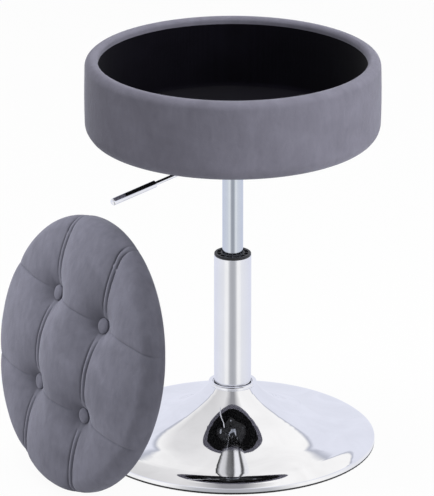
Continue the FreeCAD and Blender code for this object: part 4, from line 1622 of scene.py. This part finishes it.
@dataclass(frozen=True)
class MirroredRoom:
    """What only the metal shows of the room: a cool backdrop with a dark edge, a warm ceiling and cards."""

    cool: Colour = (0.79, 0.81, 0.91)
    edge: Colour = (0.48, 0.50, 0.58)
    warm: Colour = (1.0, 0.995, 0.99)
    edge_heights: tuple[float, float, float] = (0.41, 0.432, 0.455)
    edge_rise: Stops = ((0.04, BLACK), (0.14, (0.135, 0.135, 0.135)))
    ceiling: Stops = ((0.42, BLACK), (0.55, WHITE))
    ceiling_sides: Stops = (
        (0.12, (0.68, 0.68, 0.69)), (0.42, (0.80, 0.80, 0.81)), (0.60, (0.98, 0.98, 0.98)),
    )
    patch: Colour = (0.30, 0.30, 0.32)
    patch_width: Stops = ((0.08, WHITE), (0.34, BLACK))
    patch_height: Stops = ((0.40, BLACK), (0.56, WHITE))
    card_height: float = 0.47
    card_mirrors: float = 1.5
    card_blue: float = 1.01
    card_levels: tuple[tuple[float, float], ...] = (
        (0.0, 0.04), (0.14, 0.08), (0.24, 0.80), (0.34, 0.70), (0.40, 0.24), (0.52, 0.10),
        (0.56, 0.95), (0.65, 0.98), (0.685, 0.08), (0.725, 0.10), (0.77, 0.92), (1.0, 0.95),
    )

    def backdrop(self, bench: NodeBench, way: bpy.types.NodeOutputs) -> Socket:
        """Cool backdrop under a warm ceiling that is dimmer on the left, with a dim patch high up ahead.

        The dark edge between backdrop and ceiling is lower in the middle than beside it.

        Args:
            bench: the world's nodes.
            way: the direction of view, split into X, Y and Z.

        Returns:
            The colour.
        """
        aside = bench.compute("ABSOLUTE", way["X"])
        lift = bench.compute("SUBTRACT", way["Z"], bench.ramp(aside, self.edge_rise))
        under, on, over = self.edge_heights
        stops = ((0.0, self.cool), (under, self.cool), (on, self.edge), (over, self.warm), (1.0, self.warm))
        room = bench.ramp(lift, stops)
        across = bench.compute("ADD", bench.compute("MULTIPLY", way["X"], 0.5), 0.5)
        dimmed = bench.blended(1.0, room, bench.ramp(across, self.ceiling_sides), "MULTIPLY")
        room = bench.blended(bench.ramp(lift, self.ceiling), room, dimmed)
        width = bench.ramp(aside, self.patch_width)
        height = bench.ramp(way["Z"], self.patch_height)
        ahead = bench.compute("LESS_THAN", way["Y"], 0.0)
        patch = bench.compute("MULTIPLY", bench.compute("MULTIPLY", width, height), ahead)
        return bench.blended(patch, room, self.patch)

    def cards(self, bench: NodeBench, way: bpy.types.NodeOutputs) -> Socket:
        """Upright dark and white cards round the stool.

        Args:
            bench: the world's nodes.
            way: the direction of view, split into X, Y and Z.

        Returns:
            The colour.
        """
        share = bench.compute("ADD", bench.compute("DIVIDE", bench.bearing(way), 2 * math.pi), 0.5)
        stops = [(place, (level, level, level * self.card_blue)) for place, level in self.card_levels]
        return bench.ramp(share, stops)

    def shown(self, bench: NodeBench) -> Socket:
        """The whole room, with its cards where metal mirrors other metal.

        Args:
            bench: the world's nodes.

        Returns:
            The colour.
        """
        rays = bench.add("LightPath").outputs
        way = bench.split(bench.add("TexCoord").outputs["Generated"])
        twice = bench.compute("GREATER_THAN", rays["Glossy Depth"], self.card_mirrors)
        high = bench.compute("GREATER_THAN", way["Z"], self.card_height)
        carded = bench.compute("MULTIPLY", twice, high)
        room = bench.blended(carded, self.backdrop(bench, way), self.cards(bench, way))
        return bench.blended(rays["Is Camera Ray"], room, WHITE)


class LidLight(Enum):
    """What a lamp does with the lid, where it doesn't light all pieces alike."""

    ONLY = "INCLUDE"
    NEVER = "EXCLUDE"


@dataclass(frozen=True)
class Lamp:
    """A large soft lamp that faces the stool."""

    name: str
    place: Spot
    power: float
    width: float = 1.8
    lid: Optional[LidLight] = None
    target: Spot = (0.0, 0.0, 0.3)

    def hang(self, lid_pieces: Sequence[bpy.types.Object]) -> None:
        """Hang the lamp, and keep it to the lid or off it.

        Args:
            lid_pieces: the lid's own pieces.
        """
        data = bpy.data.lights.new(self.name, "AREA")
        data.shape = "DISK"
        data.size = self.width
        data.energy = self.power
        lamp = bpy.data.objects.new(self.name, data)
        lamp.location = self.place
        lamp.rotation_euler = (Vector(self.target) - Vector(self.place)).to_track_quat("-Z", "Y").to_euler()
        lamp.visible_glossy = False
        bpy.context.scene.collection.objects.link(lamp)
        if self.lid is None:
            return
        group = bpy.data.collections.new(self.name + "_pieces")
        lamp.light_linking.receiver_collection = group
        for piece in lid_pieces:
            group.objects.link(piece)
        for entry in group.collection_objects:
            entry.light_linking.link_state = self.lid.value


LAMPS = (
    Lamp("front_lamp", (0.3, -3.3, 2.2), 45.0, lid=LidLight.NEVER),
    Lamp("right_lamp", (3.0, -1.0, 1.7), 98.0, lid=LidLight.NEVER),
    Lamp("top_lamp", (-0.5, 0.3, 3.2), 68.0),
    Lamp("lid_lamp", (-2.3, 0.55, 1.3), 56.0, width=1.5, lid=LidLight.ONLY),
    Lamp("lid_fill", (2.5, -3.4, 0.8), 24.0, lid=LidLight.ONLY),
)


@dataclass
class Studio:
    """White floor, soft surroundings, large lamps and the camera, in metres and degrees."""

    camera_place: Spot = (0.0, -6.05181, 2.46754)
    pitch: float = 19.9
    pan: float = 0.199
    focal_pixels: float = 4811.2
    frame_pixels: float = 496.0
    sensor: float = 36.0
    clip_end: float = 100.0
    floor_size: float = 40.0
    floor_drop: float = 0.0004
    floor_matt: Colour = (0.66, 0.66, 0.66)
    floor_share: float = 0.95
    floor_tones: Stops = (
        (0.0, (0.42, 0.43, 0.46)), (0.085, (0.48, 0.49, 0.52)), (0.165, WHITE), (0.235, WHITE),
        (0.31, (0.87, 0.88, 0.92)), (0.72, (0.79, 0.81, 0.92)),
    )
    ambient: float = 0.32
    room: MirroredRoom = MirroredRoom()

    def floor_tone(self, bench: NodeBench) -> Socket:
        """White to the eye, and to the metal a floor that is dimmer in front of the stool than beside it.

        Args:
            bench: the floor's nodes.

        Returns:
            The colour.
        """
        way = bench.split(bench.add("NewGeometry").outputs["Position"])
        share = bench.compute("DIVIDE", bench.compute("ABSOLUTE", bench.bearing(way)), math.pi)
        mirrored = bench.add("LightPath").outputs["Is Glossy Ray"]
        return bench.blended(mirrored, WHITE, bench.ramp(share, self.floor_tones))

    def build_floor(self) -> None:
        """Plain white floor that keeps a light shadow."""
        mesh = bpy.data.meshes.new("studio_floor")
        half = self.floor_size / 2
        sides = ((-half, -half), (half, -half), (half, half), (-half, half))
        mesh.from_pydata([(x, y, -self.floor_drop) for x, y in sides], [], [(0, 1, 2, 3)])
        floor = bpy.data.objects.new("studio_floor", mesh)
        bpy.context.scene.collection.objects.link(floor)
        paper = bpy.data.materials.new("white_floor")
        paper.use_nodes = True
        bench = NodeBench(paper.node_tree)
        matt = bench.add("BsdfDiffuse")
        bench.feed(matt.inputs["Color"], self.floor_matt)
        glow = bench.add("Emission")
        bench.feed(glow.inputs["Color"], self.floor_tone(bench))
        share = bench.compute("MULTIPLY", bench.seen(), self.floor_share)
        bench.finish_with("OutputMaterial", share, matt.outputs[0], glow.outputs[0])
        mesh.materials.append(paper)

    def build_surroundings(self) -> None:
        """Even soft light, white to the eye, and a toned white room for the mirrors."""
        world = bpy.data.worlds.new("white_room")
        bpy.context.scene.world = world
        world.use_nodes = True
        bench = NodeBench(world.node_tree)
        shown = bench.add("Background")
        bench.feed(shown.inputs["Color"], self.room.shown(bench))
        even = bench.add("Background")
        bench.feed(even.inputs["Color"], WHITE)
        bench.feed(even.inputs["Strength"], self.ambient)
        bench.finish_with("OutputWorld", bench.seen(), even.outputs[0], shown.outputs[0])

    def build_camera(self) -> None:
        """Camera at the viewing angle, panned so that the column stands right of the middle."""
        data = bpy.data.cameras.new("front_camera")
        data.sensor_width = self.sensor
        data.lens = self.focal_pixels / self.frame_pixels * self.sensor
        data.clip_end = self.clip_end
        camera = bpy.data.objects.new("front_camera", data)
        camera.location = self.camera_place
        camera.rotation_euler = (math.radians(90.0 - self.pitch), 0.0, math.radians(self.pan))
        bpy.context.scene.collection.objects.link(camera)
        bpy.context.scene.camera = camera

    def build(self, lid_pieces: Sequence[bpy.types.Object]) -> None:
        """Set up floor, surroundings, lamps, camera and colour handling.

        Args:
            lid_pieces: pieces of the lid, which has lamps of its own.
        """
        self.build_floor()
        self.build_surroundings()
        for lamp in LAMPS:
            lamp.hang(lid_pieces)
        self.build_camera()
        bpy.context.scene.view_settings.view_transform = "Standard"


def main() -> None:
    """Build the stool's looks in order."""
    logging.basicConfig(level=logging.INFO, format="%(name)s: %(message)s")
    dress_frame()
    StorageTray().build()
    Studio().build(TuftedLid().build())


if __name__ == "__main__":
    main()
